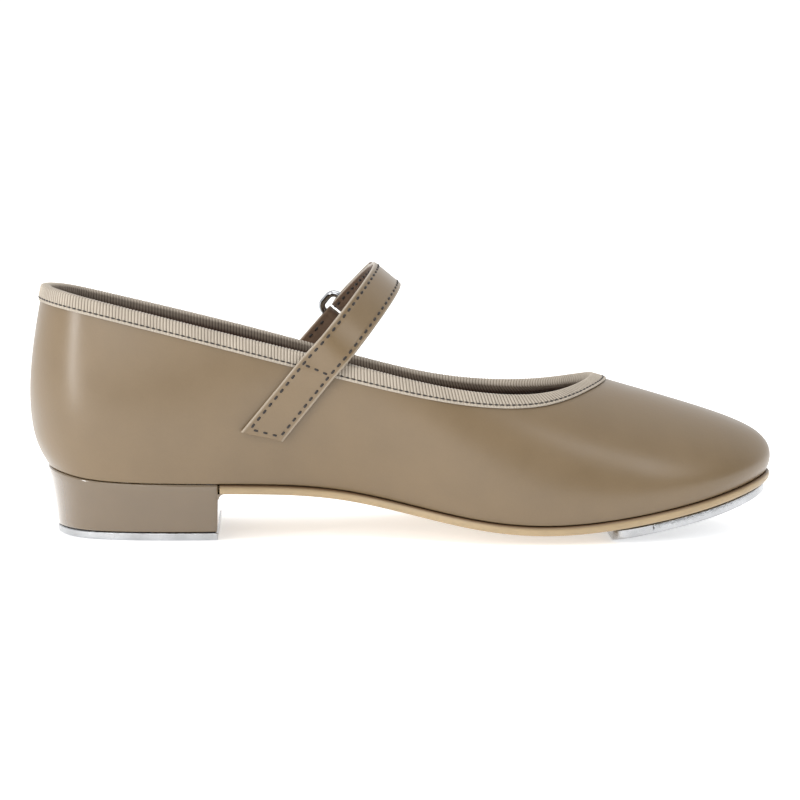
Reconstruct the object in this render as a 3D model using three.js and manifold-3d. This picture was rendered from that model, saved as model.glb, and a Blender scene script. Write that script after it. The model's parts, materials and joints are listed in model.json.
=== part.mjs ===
// A left tap shoe with a low block heel, an instep strap that folds back through a ring,
// and a metal tap under the toe and under the heel.
// Frame: millimetres, +Z up, +X towards the toe, +Y towards the lateral (outer) side.
// The origin is on the floor, below the middle of the shoe.
import * as THREE from "three";
import { mergeVertices } from "three/addons/utils/BufferGeometryUtils.js";
import Module from "manifold-3d";

const wasm = await Module();
wasm.setup();

// ---------------------------------------------------------------- driving dimensions, mm

const GAP = 0.3; // air left between neighbouring layers
const UPPER_THICK = 1.2;
const LINING_THICK = 0.8;
const STIFFENER_THICK = 1.0; // heel counter and toe puff
const STIFFENER_TOP = 2.5; // in levels of the last, see LAST
const STIFFENER_SPREAD_HEEL = 2.75; // in stations either side of the back seam
const STIFFENER_SPREAD_TOE = 1.25; // in stations either side of the toe
const STIFFENER_MARGIN = 0.34; // past which the lining starts to close in again
const STIFFENER_FADE = 0.4; // over which it does
const BINDING_DEPTH = 4.5;
const BINDING_THICK = 0.7;
const LASTING_MARGIN = 9.5; // upper leather turned under the insole board
const MARGIN_BEND = 5; // where the turned margin bends with the crown, in from the feather edge
const MARGIN_CORNER = 2.4; // inside corner between wall and margin
const BOARD_THICK = 1.8;
const SOCK_THICK = 1.5;
const BOARD_INSET = 4.6;
const SOLE_THICK = 3.0;
const SOLE_LIP = 1.0; // how far the sole edge stands out past the upper
const SOLE_ROUND = 0.8;
const SOLE_EDGE_LOW = 0.2; // how far below mid thickness the straight part of the edge ends
const FOREPART_CROWN = 2.2; // how much lower the middle of the sole is than its edge
const BREAST_X = -59; // front face of the heel block
const RIM_THICK = 2.7; // rim of the heel block around the seat of the sole
const HEEL_FLARE = 0.2;
const HEEL_TAPER = 2.8; // how far the foot of the heel lies inside the feather edge
const HEEL_BEVEL = 0.6; // on the upper edge of the heel block
const TAP_THICK_HEEL = 2.3;
const TAP_THICK_TOE = 3;
const TAP_BEVEL = 0.7;
const TOE_TAP_REAR_X = 66;
const TOE_TAP_INSET = 0.6;
const TOE_TAP_CORNER = 7;
const STRAP_WIDE = 12; // at the sewn end
const STRAP_NARROW = 11.2; // at the free end
const STRAP_OUTER_THICK = 0.9;
const STRAP_LINING_THICK = 0.7;
const STRAP_STACK = STRAP_OUTER_THICK + GAP + STRAP_LINING_THICK;
const PATCH_THICK = 0.8; // each half of the hook and loop fastening
const RING_WIRE = 1.15; // radius
const RING_BARS = 8.4; // between the centres of the two long bars
const RING_SPAN = 15.8; // between the centres of the two ends
const RING_CORNER = 2.8; // corner radius, to the wire's centre
const FOLD_SLACK = 0.9; // room between the strap fold and the ring wire

// ---------------------------------------------------------------- the last

// Half of the ribs of the last, from the back of the heel to the tip of the toe. Each rib
// has five levels, from the feather edge at the sole up to the topline, and each level is
// [x, medial half width, lateral half width, z].
const LAST = [
  [[-114.1, 0, 0, 22], [-118.2, 0, 0, 30.5], [-119.8, 0, 0, 45], [-118.2, 0, 0, 63], [-115.2, 0, 0, 79.3]],
  [[-107.6, 16.2, 16.2, 20.8], [-111, 17.2, 17.2, 30.5], [-112.6, 17.8, 17.8, 45], [-111.6, 16.6, 16.6, 62],
    [-109.5, 14.6, 14.6, 78.3]],
  [[-90, 24.6, 24.8, 19], [-91.5, 27.2, 27.4, 29.5], [-92.5, 28, 28.2, 43], [-93, 26.2, 26.4, 59],
    [-92.5, 23.2, 23.4, 74.6]],
  [[-54, 25.4, 26.4, 18.3], [-54, 28.6, 29.6, 28], [-54, 30.2, 31, 40], [-54, 30, 30.2, 53.5],
    [-54, 28.2, 28.2, 65.2]],
  [[-17, 21, 27, 15.2], [-17.5, 25.8, 31.2, 23.5], [-18, 30, 34, 34], [-18, 32.2, 34.4, 46],
    [-18, 32.2, 33, 56.4]],
  [[21, 33.2, 36.6, 8.1], [20, 36.2, 38.4, 16], [18.5, 37.6, 38.7, 26.5], [16.5, 37, 37.6, 38],
    [14, 34, 34.4, 49]],
  [[58, 36, 35.8, 6.8], [56.5, 37.4, 37, 15], [52, 36, 35.6, 27.5], [46.5, 32.4, 32, 38.5],
    [40.5, 28.2, 28, 46.3]],
  [[99, 25.6, 24.6, 13.7], [99.8, 26.6, 25.6, 21.2], [91.6, 22.4, 21.6, 32.1], [75, 16.8, 16.4, 41.7],
    [56.4, 15, 14.8, 48.4]],
  [[119.1, 0, 0, 19.3], [120.1, 0, 0, 25.2], [112.6, 0, 0, 33.3], [88.5, 0, 0, 42], [62, 0, 0, 49.8]],
];
const LATERAL_DROP = [0, 0.3, 1, 1.5, 3, 3.2, 1.6, 0.7, 0]; // of the topline, at each rib
const TOP = 4; // level of the topline
const TOE = LAST.length - 1; // station of the toe tip
const STATIONS = 2 * TOE; // around the whole shoe, back, medial side, toe, lateral side
const wrapped = (u) => ((u % STATIONS) + STATIONS) % STATIONS;

function ribPoint(station, level) {
  const lateral = station > TOE;
  const rib = lateral ? STATIONS - station : station;
  const [x, medialY, lateralY, z] = LAST[rib][level];
  const drop = lateral ? LATERAL_DROP[rib] * Math.max(0, level - TOP + 2) / 2 : 0;
  return new THREE.Vector3(x, lateral ? lateralY : -medialY, z - drop);
}

// Control points of the cubic B-spline through a row of points.
function fitRow(points, closed) {
  const count = points.length;
  const control = points.map((p) => p.clone());
  for (let round = 0; round < 40; round++) {
    for (let i = closed ? 0 : 1; i < (closed ? count : count - 1); i++) {
      const before = control[(i + count - 1) % count];
      const after = control[(i + 1) % count];
      const reached = before.clone().add(after).addScaledVector(control[i], 4).divideScalar(6);
      control[i].add(points[i]).sub(reached);
    }
  }
  return control;
}

function fitNet() {
  const levels = [];
  for (let level = 0; level <= TOP; level++) {
    const loop = Array.from({ length: STATIONS }, (_, station) => ribPoint(station, level));
    levels.push(fitRow(loop, true));
  }
  return Array.from({ length: STATIONS }, (_, station) => fitRow(levels.map((row) => row[station]), false));
}

const NET = fitNet();

function splineWeights(f) {
  return [
    (1 - f) ** 3 / 6,
    (3 * f ** 3 - 6 * f ** 2 + 4) / 6,
    (-3 * f ** 3 + 3 * f ** 2 + 3 * f + 1) / 6,
    f ** 3 / 6,
  ];
}

function controlPoint(station, level) {
  const rib = NET[wrapped(station)];
  if (level < 0) return rib[0].clone().multiplyScalar(2).sub(rib[1]);
  if (level > TOP) return rib[TOP].clone().multiplyScalar(2).sub(rib[TOP - 1]);
  return rib[level];
}

// Point on the outside of the upper at station u (0 at the back, TOE at the toe) and level t.
function lastPoint(u, t) {
  const station = Math.floor(u);
  const level = Math.min(Math.max(Math.floor(t), 0), TOP - 1);
  const along = splineWeights(u - station);
  const up = splineWeights(t - level);
  const point = new THREE.Vector3();
  for (let i = 0; i < 4; i++)
    for (let j = 0; j < 4; j++) {
      point.addScaledVector(controlPoint(station + i - 1, level + j - 1), along[i] * up[j]);
    }
  return point;
}

function lastNormal(u, t) {
  const step = 0.01;
  const along = lastPoint(u + step, t).sub(lastPoint(u - step, t));
  const up = lastPoint(u, t + step).sub(lastPoint(u, t - step));
  return along.cross(up).normalize();
}

// The last moved out by a distance; layers inside the upper have a negative one.
function offsetPoint(u, t, distance) {
  return lastPoint(u, t).addScaledVector(lastNormal(u, t), distance);
}

// ---------------------------------------------------------------- the bottom of the last

const HEEL_HUB = 2; // columns behind this station all meet at one point of the centreline
const TOE_HUB = 7; // and so do the columns in front of this one

const mirrored = (u) => Math.min(u, STATIONS - u);

const hubStation = (u) => THREE.MathUtils.clamp(mirrored(u), HEEL_HUB, TOE_HUB);

// Midway between the two feather edges, without the crown.
function centrelinePoint(u) {
  const station = hubStation(u);
  return lastPoint(station, 0).add(lastPoint(STATIONS - station, 0)).multiplyScalar(0.5);
}

// How far the bottom drops below the feather edge in the middle.
const crown = (u) => FOREPART_CROWN * THREE.MathUtils.smoothstep(hubStation(u), 3.5, 5);

// Point on the bottom of the last: inset is measured in from the feather edge, height is up from the surface.
function bottomPoint(u, inset, height) {
  const centre = centrelinePoint(u);
  const reach = lastPoint(u, 0).sub(centre);
  const width = Math.hypot(reach.x, reach.y);
  const share = 1 - inset / width;
  const point = centre.addScaledVector(reach, share);
  point.z += height - crown(u) * (1 - Math.min(share, 1) ** 2);
  return point;
}

// The same, by share of the way from the centreline to the feather edge.
function bottomShare(u, share, height) {
  const centre = centrelinePoint(u);
  const reach = lastPoint(u, 0).sub(centre);
  return bottomPoint(u, (1 - share) * Math.hypot(reach.x, reach.y), height);
}

// Station on the medial side where the feather edge has this x.
function stationAt(x) {
  let low = 0;
  let high = TOE;
  for (let round = 0; round < 40; round++) {
    const middle = (low + high) / 2;
    if (lastPoint(middle, 0).x < x) low = middle;
    else high = middle;
  }
  return (low + high) / 2;
}

const BREAST = stationAt(BREAST_X);

// ---------------------------------------------------------------- skins

// Closed mesh through rings of points. Ring i joins ring i + 1 point by point. A shape that
// runs round the whole shoe joins its last ring to its first, and any other gets flat ends.
// A hub shape's rings start and end on the centreline, where nothing closes them.
function skin(rings, { round = false, hub = false } = {}) {
  const positions = [];
  const triangle = (a, b, c) => {
    const area = b.clone().sub(a).cross(c.clone().sub(a)).length();
    if (area > 1e-7) for (const p of [a, b, c]) positions.push(p.x, p.y, p.z);
  };
  const count = rings[0].length;
  const last = round ? rings.length : rings.length - 1;
  for (let i = 0; i < last; i++) {
    const here = rings[i];
    const next = rings[(i + 1) % rings.length];
    for (let k = 0; k < (hub ? count - 1 : count); k++) {
      const m = (k + 1) % count;
      quad(here[k], next[k], next[m], here[m], triangle);
    }
  }
  if (!round) {
    const close = hub ? fanCap : bandCap;
    close(rings[0], triangle, true);
    close(rings[rings.length - 1], triangle, false);
  }
  return solidGeometry(positions);
}

// Splits a quad along its shorter diagonal, so that neighbouring layers split alike.
function quad(a, b, c, d, triangle) {
  if (a.distanceTo(c) <= b.distanceTo(d)) {
    triangle(a, b, c);
    triangle(a, c, d);
  } else {
    triangle(a, b, d);
    triangle(b, c, d);
  }
}

// End of a shape whose ring runs out along one face and back along the other.
function bandCap(ring, triangle, first) {
  const count = ring.length;
  for (let k = 0; k < count / 2 - 1; k++) {
    const corners = [ring[k], ring[k + 1], ring[count - 2 - k], ring[count - 1 - k]];
    quad(...(first ? corners : corners.toReversed()), triangle);
  }
}

// End of a hub shape, a flat outline of any form.
function fanCap(ring, triangle, first) {
  const loop = ring.filter((p, k) => p.distanceTo(ring[(k + 1) % ring.length]) > 1e-6);
  const normal = new THREE.Vector3();
  loop.forEach((p, k) => normal.add(p.clone().cross(loop[(k + 1) % loop.length])));
  normal.normalize();
  const across = new THREE.Vector3(normal.y, normal.z, normal.x).cross(normal).normalize();
  const up = normal.clone().cross(across);
  const flat = loop.map((p) => new THREE.Vector2(p.dot(across), p.dot(up)));
  for (const [a, b, c] of THREE.ShapeUtils.triangulateShape(flat, [])) {
    const turn = flat[b].clone().sub(flat[a]).cross(flat[c].clone().sub(flat[a])) > 0;
    if (turn === first) triangle(loop[a], loop[b], loop[c]);
    else triangle(loop[a], loop[c], loop[b]);
  }
}

function solidGeometry(positions) {
  const merged = mergeVertices(
    new THREE.BufferGeometry().setAttribute("position", new THREE.Float32BufferAttribute(positions, 3)),
    1e-4,
  );
  const index = merged.index.array;
  const at = (i) => new THREE.Vector3().fromBufferAttribute(merged.attributes.position, i);
  const kept = [];
  let volume = 0;
  for (let i = 0; i < index.length; i += 3) {
    const [a, b, c] = index.slice(i, i + 3);
    if (a === b || b === c || a === c) continue;
    kept.push(a, b, c);
    volume += at(a).dot(at(b).cross(at(c)));
  }
  if (volume < 0) for (let i = 0; i < kept.length; i += 3) [kept[i], kept[i + 1]] = [kept[i + 1], kept[i]];
  merged.setIndex(kept);
  return merged;
}

// ---------------------------------------------------------------- boolean cuts

function toSolid(geometry) {
  const bare = geometry.clone();
  bare.deleteAttribute("normal");
  bare.deleteAttribute("uv");
  const merged = mergeVertices(bare, 1e-4);
  return new wasm.Manifold(
    new wasm.Mesh({
      numProp: 3,
      vertProperties: new Float32Array(merged.attributes.position.array),
      triVerts: new Uint32Array(merged.index.array),
    }),
  );
}

function toGeometry(solid) {
  const mesh = solid.getMesh();
  const geometry = new THREE.BufferGeometry();
  geometry.setAttribute("position", new THREE.Float32BufferAttribute(mesh.vertProperties, 3));
  geometry.setIndex([...mesh.triVerts]);
  return geometry;
}

function cut(geometry, cutters) {
  let solid = toSolid(geometry);
  for (const cutter of cutters) solid = solid.subtract(toSolid(cutter));
  return toGeometry(solid);
}

// ---------------------------------------------------------------- stations of the columns

// Stations from one value to another, three to a rib and four round the toe.
function stations(from, to) {
  const parts = 12;
  const list = [from];
  for (let part = Math.ceil(from * parts + 0.5); part < to * parts - 0.5; part++) {
    const atToe = Math.abs(wrapped(part / parts) - TOE) < 1;
    if (part % (atToe ? 3 : 4) === 0) list.push(part / parts);
  }
  list.push(to);
  return list;
}

const aroundShoe = () => stations(0, STATIONS).slice(0, -1);

function levels(from, to, steps) {
  return Array.from({ length: steps + 1 }, (_, i) => from + ((to - from) * i) / steps);
}

// ---------------------------------------------------------------- upper, linings, stiffeners

// Every layer of the wall bends at the same levels, so that the layers lie evenly on each other.
const WALL_LEVELS = [0.4, 0.8, 1.2, 1.6, 2.05, 2.5, 3.05, 3.55, TOP];
const CORNER_LEVEL = 0.15; // of the inside corner at the foot of the wall

function upper() {
  const rings = aroundShoe().map((u) => [
    ...WALL_LEVELS.toReversed().map((t) => lastPoint(u, t)),
    lastPoint(u, 0),
    bottomPoint(u, MARGIN_BEND, 0),
    bottomPoint(u, LASTING_MARGIN, 0),
    bottomPoint(u, LASTING_MARGIN, UPPER_THICK),
    bottomPoint(u, MARGIN_CORNER, UPPER_THICK),
    ...[CORNER_LEVEL, ...WALL_LEVELS].map((t) => offsetPoint(u, t, -UPPER_THICK)),
  ]);
  return skin(rings, { round: true });
}

// 1 where a stiffener lies between upper and lining, 0 where the lining lies on the upper.
function stiffenerShare(u, t) {
  const fade = (distance, edge) =>
    THREE.MathUtils.clamp(1 - (distance - edge - STIFFENER_MARGIN) / STIFFENER_FADE, 0, 1);
  const fromBack = mirrored(wrapped(u));
  const along = Math.max(fade(fromBack, STIFFENER_SPREAD_HEEL), fade(TOE - fromBack, STIFFENER_SPREAD_TOE));
  return along * fade(t, STIFFENER_TOP);
}

function liningDepth(u, t) {
  return UPPER_THICK + GAP + (STIFFENER_THICK + GAP) * stiffenerShare(u, t);
}

// A lining from one station to another; the bottom edge stands on the lasting margin.
function lining(from, to) {
  const rings = stations(from, to).map((u) => [
    ...WALL_LEVELS.map((t) => offsetPoint(u, t, -liningDepth(u, t))),
    ...WALL_LEVELS.toReversed().map((t) => offsetPoint(u, t, -liningDepth(u, t) - LINING_THICK)),
  ]);
  return skin(rings);
}

function stiffener(from, to) {
  const heights = WALL_LEVELS.filter((t) => t <= STIFFENER_TOP);
  const rings = stations(from, to).map((u) => [
    ...heights.map((t) => offsetPoint(u, t, -UPPER_THICK - GAP)),
    ...heights.toReversed().map((t) => offsetPoint(u, t, -UPPER_THICK - GAP - STIFFENER_THICK)),
  ]);
  return skin(rings);
}

// U-shaped ribbon sewn over the raw edge of upper and lining.
function toplineBinding() {
  const outside = GAP;
  const inside = -(UPPER_THICK + GAP + LINING_THICK + GAP);
  const rings = aroundShoe().map((u) => {
    const rise = lastPoint(u, TOP).distanceTo(lastPoint(u, TOP - 0.1)) / 0.1;
    const low = TOP - BINDING_DEPTH / rise;
    const edge = (distance, over) => {
      const up = lastPoint(u, TOP).sub(lastPoint(u, TOP - 0.1)).normalize();
      return offsetPoint(u, TOP, distance).addScaledVector(up, over);
    };
    return [
      offsetPoint(u, low, outside + BINDING_THICK),
      edge(outside + BINDING_THICK, GAP),
      edge(outside, GAP + BINDING_THICK),
      edge(inside, GAP + BINDING_THICK),
      edge(inside - BINDING_THICK, GAP),
      offsetPoint(u, low, inside - BINDING_THICK),
      offsetPoint(u, low, inside),
      edge(inside, GAP),
      edge(outside, GAP),
      offsetPoint(u, low, outside),
    ];
  });
  return skin(rings, { round: true });
}

// ---------------------------------------------------------------- fasteners

// A turned screw or nail, head upwards at the origin, shank down.
function fastener(headRadius, shankRadius, headDepth, length, grow = 0) {
  const profile = [
    new THREE.Vector2(0, grow),
    new THREE.Vector2(headRadius + grow, grow),
    new THREE.Vector2(shankRadius + grow, -headDepth - grow),
    new THREE.Vector2(shankRadius + grow, -length + shankRadius - grow),
    new THREE.Vector2(0, -length - grow),
  ];
  return new THREE.LatheGeometry(profile.toReversed(), 10).rotateX(Math.PI / 2);
}

function placed(geometry, place) {
  return geometry.clone().applyMatrix4(place);
}

// A place at a point, with the fastener's head facing along the direction given.
function facing(point, direction) {
  const upright = new THREE.Vector3(0, 0, 1);
  const turn = new THREE.Quaternion().setFromUnitVectors(upright, direction.clone().normalize());
  return new THREE.Matrix4().compose(point, turn, new THREE.Vector3(1, 1, 1));
}

function bottomNormal(u, share) {
  const step = 0.02;
  const across = bottomShare(u, share + step, 0).sub(bottomShare(u, share - step, 0));
  const along = bottomShare(u + step, share, 0).sub(bottomShare(u - step, share, 0));
  const normal = across.cross(along).normalize();
  return normal.z < 0 ? normal : normal.negate();
}

const SCREW = { head: 2.9, shank: 1.4, headDepth: 1.5 };
const TOE_SCREW_LENGTH = 5.4;
const HEEL_SCREW_LENGTH = 9.5;
const TOE_SCREW_SPOTS = [[6.62, 0.62], [STATIONS - 6.62, 0.62], [7.35, 0.45], [STATIONS - 7.35, 0.45]];
const HEEL_SCREW_SPOTS = [[-70, -15], [-70, 15], [-100, 0]];
const HEAD_SUNK = 0.15;

const toeScrewPlaces = TOE_SCREW_SPOTS.map(([u, share]) => {
  const normal = bottomNormal(u, share);
  const tread = bottomShare(u, share, -GAP - SOLE_THICK - GAP - TAP_THICK_TOE);
  tread.z = Math.max(tread.z, 0);
  return facing(tread.addScaledVector(normal, -HEAD_SUNK), normal);
});
const heelScrewPlaces = HEEL_SCREW_SPOTS.map(([x, y]) =>
  facing(new THREE.Vector3(x, y, HEAD_SUNK), new THREE.Vector3(0, 0, -1)),
);
const tapScrew = (length, grow) => fastener(SCREW.head, SCREW.shank, SCREW.headDepth, length, grow);

const DRIVE = { long: 3.4, wide: 0.8, deep: 1.2 }; // cross recess in a screw head

function tapScrewWithDrive(length) {
  const slot = new THREE.BoxGeometry(DRIVE.long, DRIVE.wide, DRIVE.deep);
  return cut(tapScrew(length, 0), [slot, slot.clone().rotateZ(Math.PI / 2)]);
}

// Nails and the seat screw are driven down through insole board and sole into the heel block.
const NAIL = { head: 2.0, shank: 0.9, headDepth: 0.9, length: 13 };
const SEAT_SCREW = { head: 3.4, shank: 1.8, headDepth: 1.2, length: 13.5 };
const NAIL_SPOTS = [[-72, -12], [-72, 12], [-96, -9], [-96, 9]];
const SEAT_SCREW_SPOT = [-86, 0];
const BOARD_TOP = GAP + UPPER_THICK + BOARD_THICK;
const seatPlace = ([x, y]) => {
  const level = centrelinePoint(stationAt(THREE.MathUtils.clamp(x, -90, BREAST_X))).z;
  return facing(new THREE.Vector3(x, y, level + BOARD_TOP - HEAD_SUNK), new THREE.Vector3(0, 0, 1));
};
const nailPlaces = NAIL_SPOTS.map(seatPlace);
const seatScrewPlace = seatPlace(SEAT_SCREW_SPOT);
const nail = (grow) => fastener(NAIL.head, NAIL.shank, NAIL.headDepth, NAIL.length, grow);
const seatScrew = (grow) =>
  fastener(SEAT_SCREW.head, SEAT_SCREW.shank, SEAT_SCREW.headDepth, SEAT_SCREW.length, grow);
const seatCutters = () => [
  ...nailPlaces.map((place) => placed(nail(GAP), place)),
  placed(seatScrew(GAP), seatScrewPlace),
];

// ---------------------------------------------------------------- bottom layers

const SHARES = [0, 0.35, 0.7]; // where every layer of the bottom bends with the crown

// A flat layer over the whole bottom, between two heights.
function bottomLayer(inset, low, high) {
  const rings = aroundShoe().map((u) => [
    ...SHARES.map((share) => bottomShare(u, share, high)),
    bottomPoint(u, inset, high),
    bottomPoint(u, inset, low),
    ...SHARES.toReversed().map((share) => bottomShare(u, share, low)),
  ]);
  return skin(rings, { round: true, hub: true });
}

function insoleBoard() {
  return cut(bottomLayer(BOARD_INSET, UPPER_THICK + GAP, BOARD_TOP), seatCutters());
}

function sockLiner() {
  return bottomLayer(BOARD_INSET, BOARD_TOP + GAP, BOARD_TOP + GAP + SOCK_THICK);
}

const FILLER_FROM_X = 12;

// Fills the hollow inside the lasting margin, in front of the shank.
function forepartFiller() {
  const from = stationAt(FILLER_FROM_X);
  const inset = LASTING_MARGIN + 2 * GAP;
  const rings = stations(from, STATIONS - from).map((u) => [
    bottomShare(u, 0, UPPER_THICK),
    bottomShare(u, SHARES[1], UPPER_THICK),
    bottomPoint(u, inset, UPPER_THICK),
    bottomPoint(u, inset, 0),
    bottomShare(u, SHARES[1], 0),
    bottomShare(u, 0, 0),
  ]);
  return skin(rings, { hub: true });
}

// Sprung steel strip with a raised rib, under the arch.
function shank() {
  const width = 11;
  const rib = 3;
  const ribRise = 0.2;
  const thick = 0.7;
  const [rear, front] = [-66, 4];
  const rings = levels(rear, front, 12).map((x) => {
    const station = stationAt(x);
    const centre = centrelinePoint(station);
    const at = (side, height) => new THREE.Vector3(x, centre.y + side, centre.z - crown(station) + height);
    return [
      at(-width / 2, thick), at(-rib / 2, thick), at(-rib / 4, thick + ribRise), at(rib / 4, thick + ribRise),
      at(rib / 2, thick), at(width / 2, thick), at(width / 2, 0), at(rib / 2, 0), at(rib / 4, ribRise),
      at(-rib / 4, ribRise), at(-rib / 2, 0), at(-width / 2, 0),
    ];
  });
  return skin(rings);
}

// Outset of the sole edge from the feather edge: it stands out in front of the heel block,
// and its seat lies inside the block's rim.
const SEAT_END = stationAt(BREAST_X + 2 * GAP);
const soleOutset = (u) => (mirrored(u) < SEAT_END ? -RIM_THICK - GAP : SOLE_LIP);

function outsole() {
  const step = 0.004;
  const columns = [...aroundShoe()];
  for (const side of [SEAT_END, STATIONS - SEAT_END]) columns.push(side - step, side + step);
  columns.sort((a, b) => a - b);
  const high = -GAP;
  const low = -GAP - SOLE_THICK;
  const rings = columns.map((u) => {
    const outset = soleOutset(u);
    const middle = (high + low) / 2;
    return [
      ...SHARES.map((share) => bottomShare(u, share, high)),
      bottomPoint(u, SOLE_ROUND - outset, high),
      bottomPoint(u, -outset, high - SOLE_ROUND),
      bottomPoint(u, -outset, middle - SOLE_EDGE_LOW),
      bottomPoint(u, SOLE_ROUND - outset, low),
      ...SHARES.toReversed().map((share) => bottomShare(u, share, low)),
    ];
  });
  const screwHoles = toeScrewPlaces.map((place) => placed(tapScrew(TOE_SCREW_LENGTH, GAP), place));
  return cut(skin(rings, { round: true, hub: true }), [...screwHoles, ...seatCutters()]);
}

// ---------------------------------------------------------------- heel block and heel tap

// Points on the breast of the heel, from the middle of which its columns spread out.
const breastMiddle = (z) => new THREE.Vector3(BREAST_X, centrelinePoint(BREAST).y, z);

function heelColumns() {
  return stations(-BREAST, BREAST).map((u) => (u + STATIONS) % STATIONS);
}

const heelWall = (u, inset, z) => {
  const point = bottomPoint(u, inset, 0);
  point.z = z;
  return point;
};

function heelBlock() {
  const floor = -GAP - SOLE_THICK - GAP;
  const base = TAP_THICK_HEEL + GAP;
  const rings = heelColumns().map((u) => {
    const level = bottomPoint(u, 0, 0).z;
    return [
      bottomShare(u, 0, floor),
      bottomPoint(u, RIM_THICK, floor),
      bottomPoint(u, RIM_THICK, -GAP),
      bottomPoint(u, HEEL_BEVEL - HEEL_FLARE, -GAP),
      heelWall(u, -HEEL_FLARE, level - GAP - HEEL_BEVEL),
      heelWall(u, HEEL_TAPER, base),
      breastMiddle(base),
    ];
  });
  const holes = [
    ...heelScrewPlaces.map((place) => placed(tapScrew(HEEL_SCREW_LENGTH, GAP), place)),
    ...seatCutters(),
  ];
  return cut(skin(rings, { hub: true }), holes);
}

function heelTap() {
  const rings = heelColumns().map((u) => [
    breastMiddle(TAP_THICK_HEEL),
    heelWall(u, HEEL_TAPER, TAP_THICK_HEEL),
    heelWall(u, HEEL_TAPER, TAP_BEVEL),
    heelWall(u, HEEL_TAPER + TAP_BEVEL, 0),
    breastMiddle(0),
  ]);
  return cut(
    skin(rings, { hub: true }),
    heelScrewPlaces.map((place) => placed(tapScrew(HEEL_SCREW_LENGTH, GAP), place)),
  );
}

// ---------------------------------------------------------------- toe tap

function toeTap() {
  const from = stationAt(TOE_TAP_REAR_X);
  const side = stationAt(TOE_TAP_REAR_X + TOE_TAP_CORNER);
  const nearRear = (u) => mirrored(u) < side + 0.02;
  const corner = levels(from, side, 4);
  const columns = [
    ...corner,
    ...stations(from, STATIONS - from).filter((u) => !nearRear(u)),
    ...corner.toReversed().map((u) => STATIONS - u),
  ];
  const high = -GAP - SOLE_THICK - GAP;
  const low = high - TAP_THICK_TOE;
  const tread = (point) => {
    point.z = Math.max(point.z, 0);
    return point;
  };
  const rings = columns.map((u) => {
    const ahead = bottomPoint(u, 0, 0).x - TOE_TAP_REAR_X;
    const back = TOE_TAP_CORNER - THREE.MathUtils.clamp(ahead, 0, TOE_TAP_CORNER);
    const rounding = TOE_TAP_CORNER - Math.sqrt(TOE_TAP_CORNER ** 2 - back ** 2);
    const inset = TOE_TAP_INSET + rounding;
    return [
      ...SHARES.map((share) => bottomShare(u, share, high)),
      bottomPoint(u, inset, high),
      bottomPoint(u, inset, low + TAP_BEVEL),
      tread(bottomPoint(u, inset + TAP_BEVEL, low)),
      ...SHARES.toReversed().map((share) => tread(bottomShare(u, share, low))),
    ];
  });
  return cut(
    skin(rings, { hub: true }),
    toeScrewPlaces.map((place) => placed(tapScrew(TOE_SCREW_LENGTH, GAP), place)),
  );
}

// ---------------------------------------------------------------- strap

// The strap lies in a plane that leans forward: e_rise points up and forward in it, e_side
// points across the strap, forward and down.
const STRAP_ORIGIN = new THREE.Vector3(-44.9, 0, 34.4); // middle of the sewn end, without its y
const LEAN = THREE.MathUtils.degToRad(50.2);
const eRise = new THREE.Vector3(Math.cos(LEAN), 0, Math.sin(LEAN));
const eSide = new THREE.Vector3(Math.sin(LEAN), 0, -Math.cos(LEAN));
const eAcross = new THREE.Vector3(0, 1, 0);

// Inner face of the strap over the foot, as [y, rise] from the medial topline to the ring.
const ARCH_SPOTS = [
  [-34.6, 23.7], [-34.1, 31.7], [-32.2, 39.2], [-27.8, 47.2], [-20.6, 54.7], [-11.2, 59.9], [0, 61.6],
  [10.6, 60], [19, 56], [24.6, 51.2], [27.8, 47.4], [29.6, 44.1],
];
const ARCH = new THREE.SplineCurve(ARCH_SPOTS.map(([y, rise]) => new THREE.Vector2(y, rise)));
const ARCH_SAMPLES = 400;

const planePoint = (y, rise, side) =>
  STRAP_ORIGIN.clone().addScaledVector(eRise, rise).addScaledVector(eSide, side).addScaledVector(eAcross, y);

// A frame on the arch at a share of its length: inner face point and outward normal.
function archFrame(share) {
  const point = ARCH.getPointAt(share);
  const tangent = ARCH.getTangentAt(share);
  const normal = eAcross.clone().multiplyScalar(-tangent.y).addScaledVector(eRise, tangent.x);
  return { point, normal };
}

// Share of the arch's length where it reaches this rise on the medial side.
function archShareAtRise(rise) {
  for (let i = 0; i < ARCH_SAMPLES; i++) {
    if (ARCH.getPointAt(i / ARCH_SAMPLES).y >= rise) return i / ARCH_SAMPLES;
  }
  return 1;
}

const STRAP_STATION = 3.6; // near the strap's foot

// Station and level of the upper at this x and z, found on one side of the shoe.
function findOnUpper(x, z, lateral) {
  let u = lateral ? STATIONS - STRAP_STATION : STRAP_STATION;
  let t = TOP - 1;
  const step = 0.01;
  for (let round = 0; round < 12; round++) {
    const here = lastPoint(u, t);
    const alongU = lastPoint(u + step, t).sub(here).divideScalar(step);
    const alongT = lastPoint(u, t + step).sub(here).divideScalar(step);
    const det = alongU.x * alongT.z - alongT.x * alongU.z;
    const dx = x - here.x;
    const dz = z - here.z;
    u += (dx * alongT.z - dz * alongT.x) / det;
    t += (dz * alongU.x - dx * alongU.z) / det;
  }
  return { u, t };
}

const SEWN_CLEARANCE = 0.45; // between upper and what is sewn on it
const BINDING_CLEARANCE = GAP + BINDING_THICK + SEWN_CLEARANCE;

const STEP_LEVELS = [3.0, 3.4]; // where a sewn strip steps up over the binding

// Frame of a strip sewn on the upper.
function sewnFrame(rise, side, lateral) {
  const flat = planePoint(0, rise, side);
  const { u, t } = findOnUpper(flat.x, flat.z, lateral);
  const lift = THREE.MathUtils.smoothstep(t, ...STEP_LEVELS);
  const normal = lastNormal(u, t);
  const clear = THREE.MathUtils.lerp(SEWN_CLEARANCE, BINDING_CLEARANCE, lift);
  const point = lastPoint(u, t).addScaledVector(normal, clear);
  return { point, normal };
}

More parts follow.
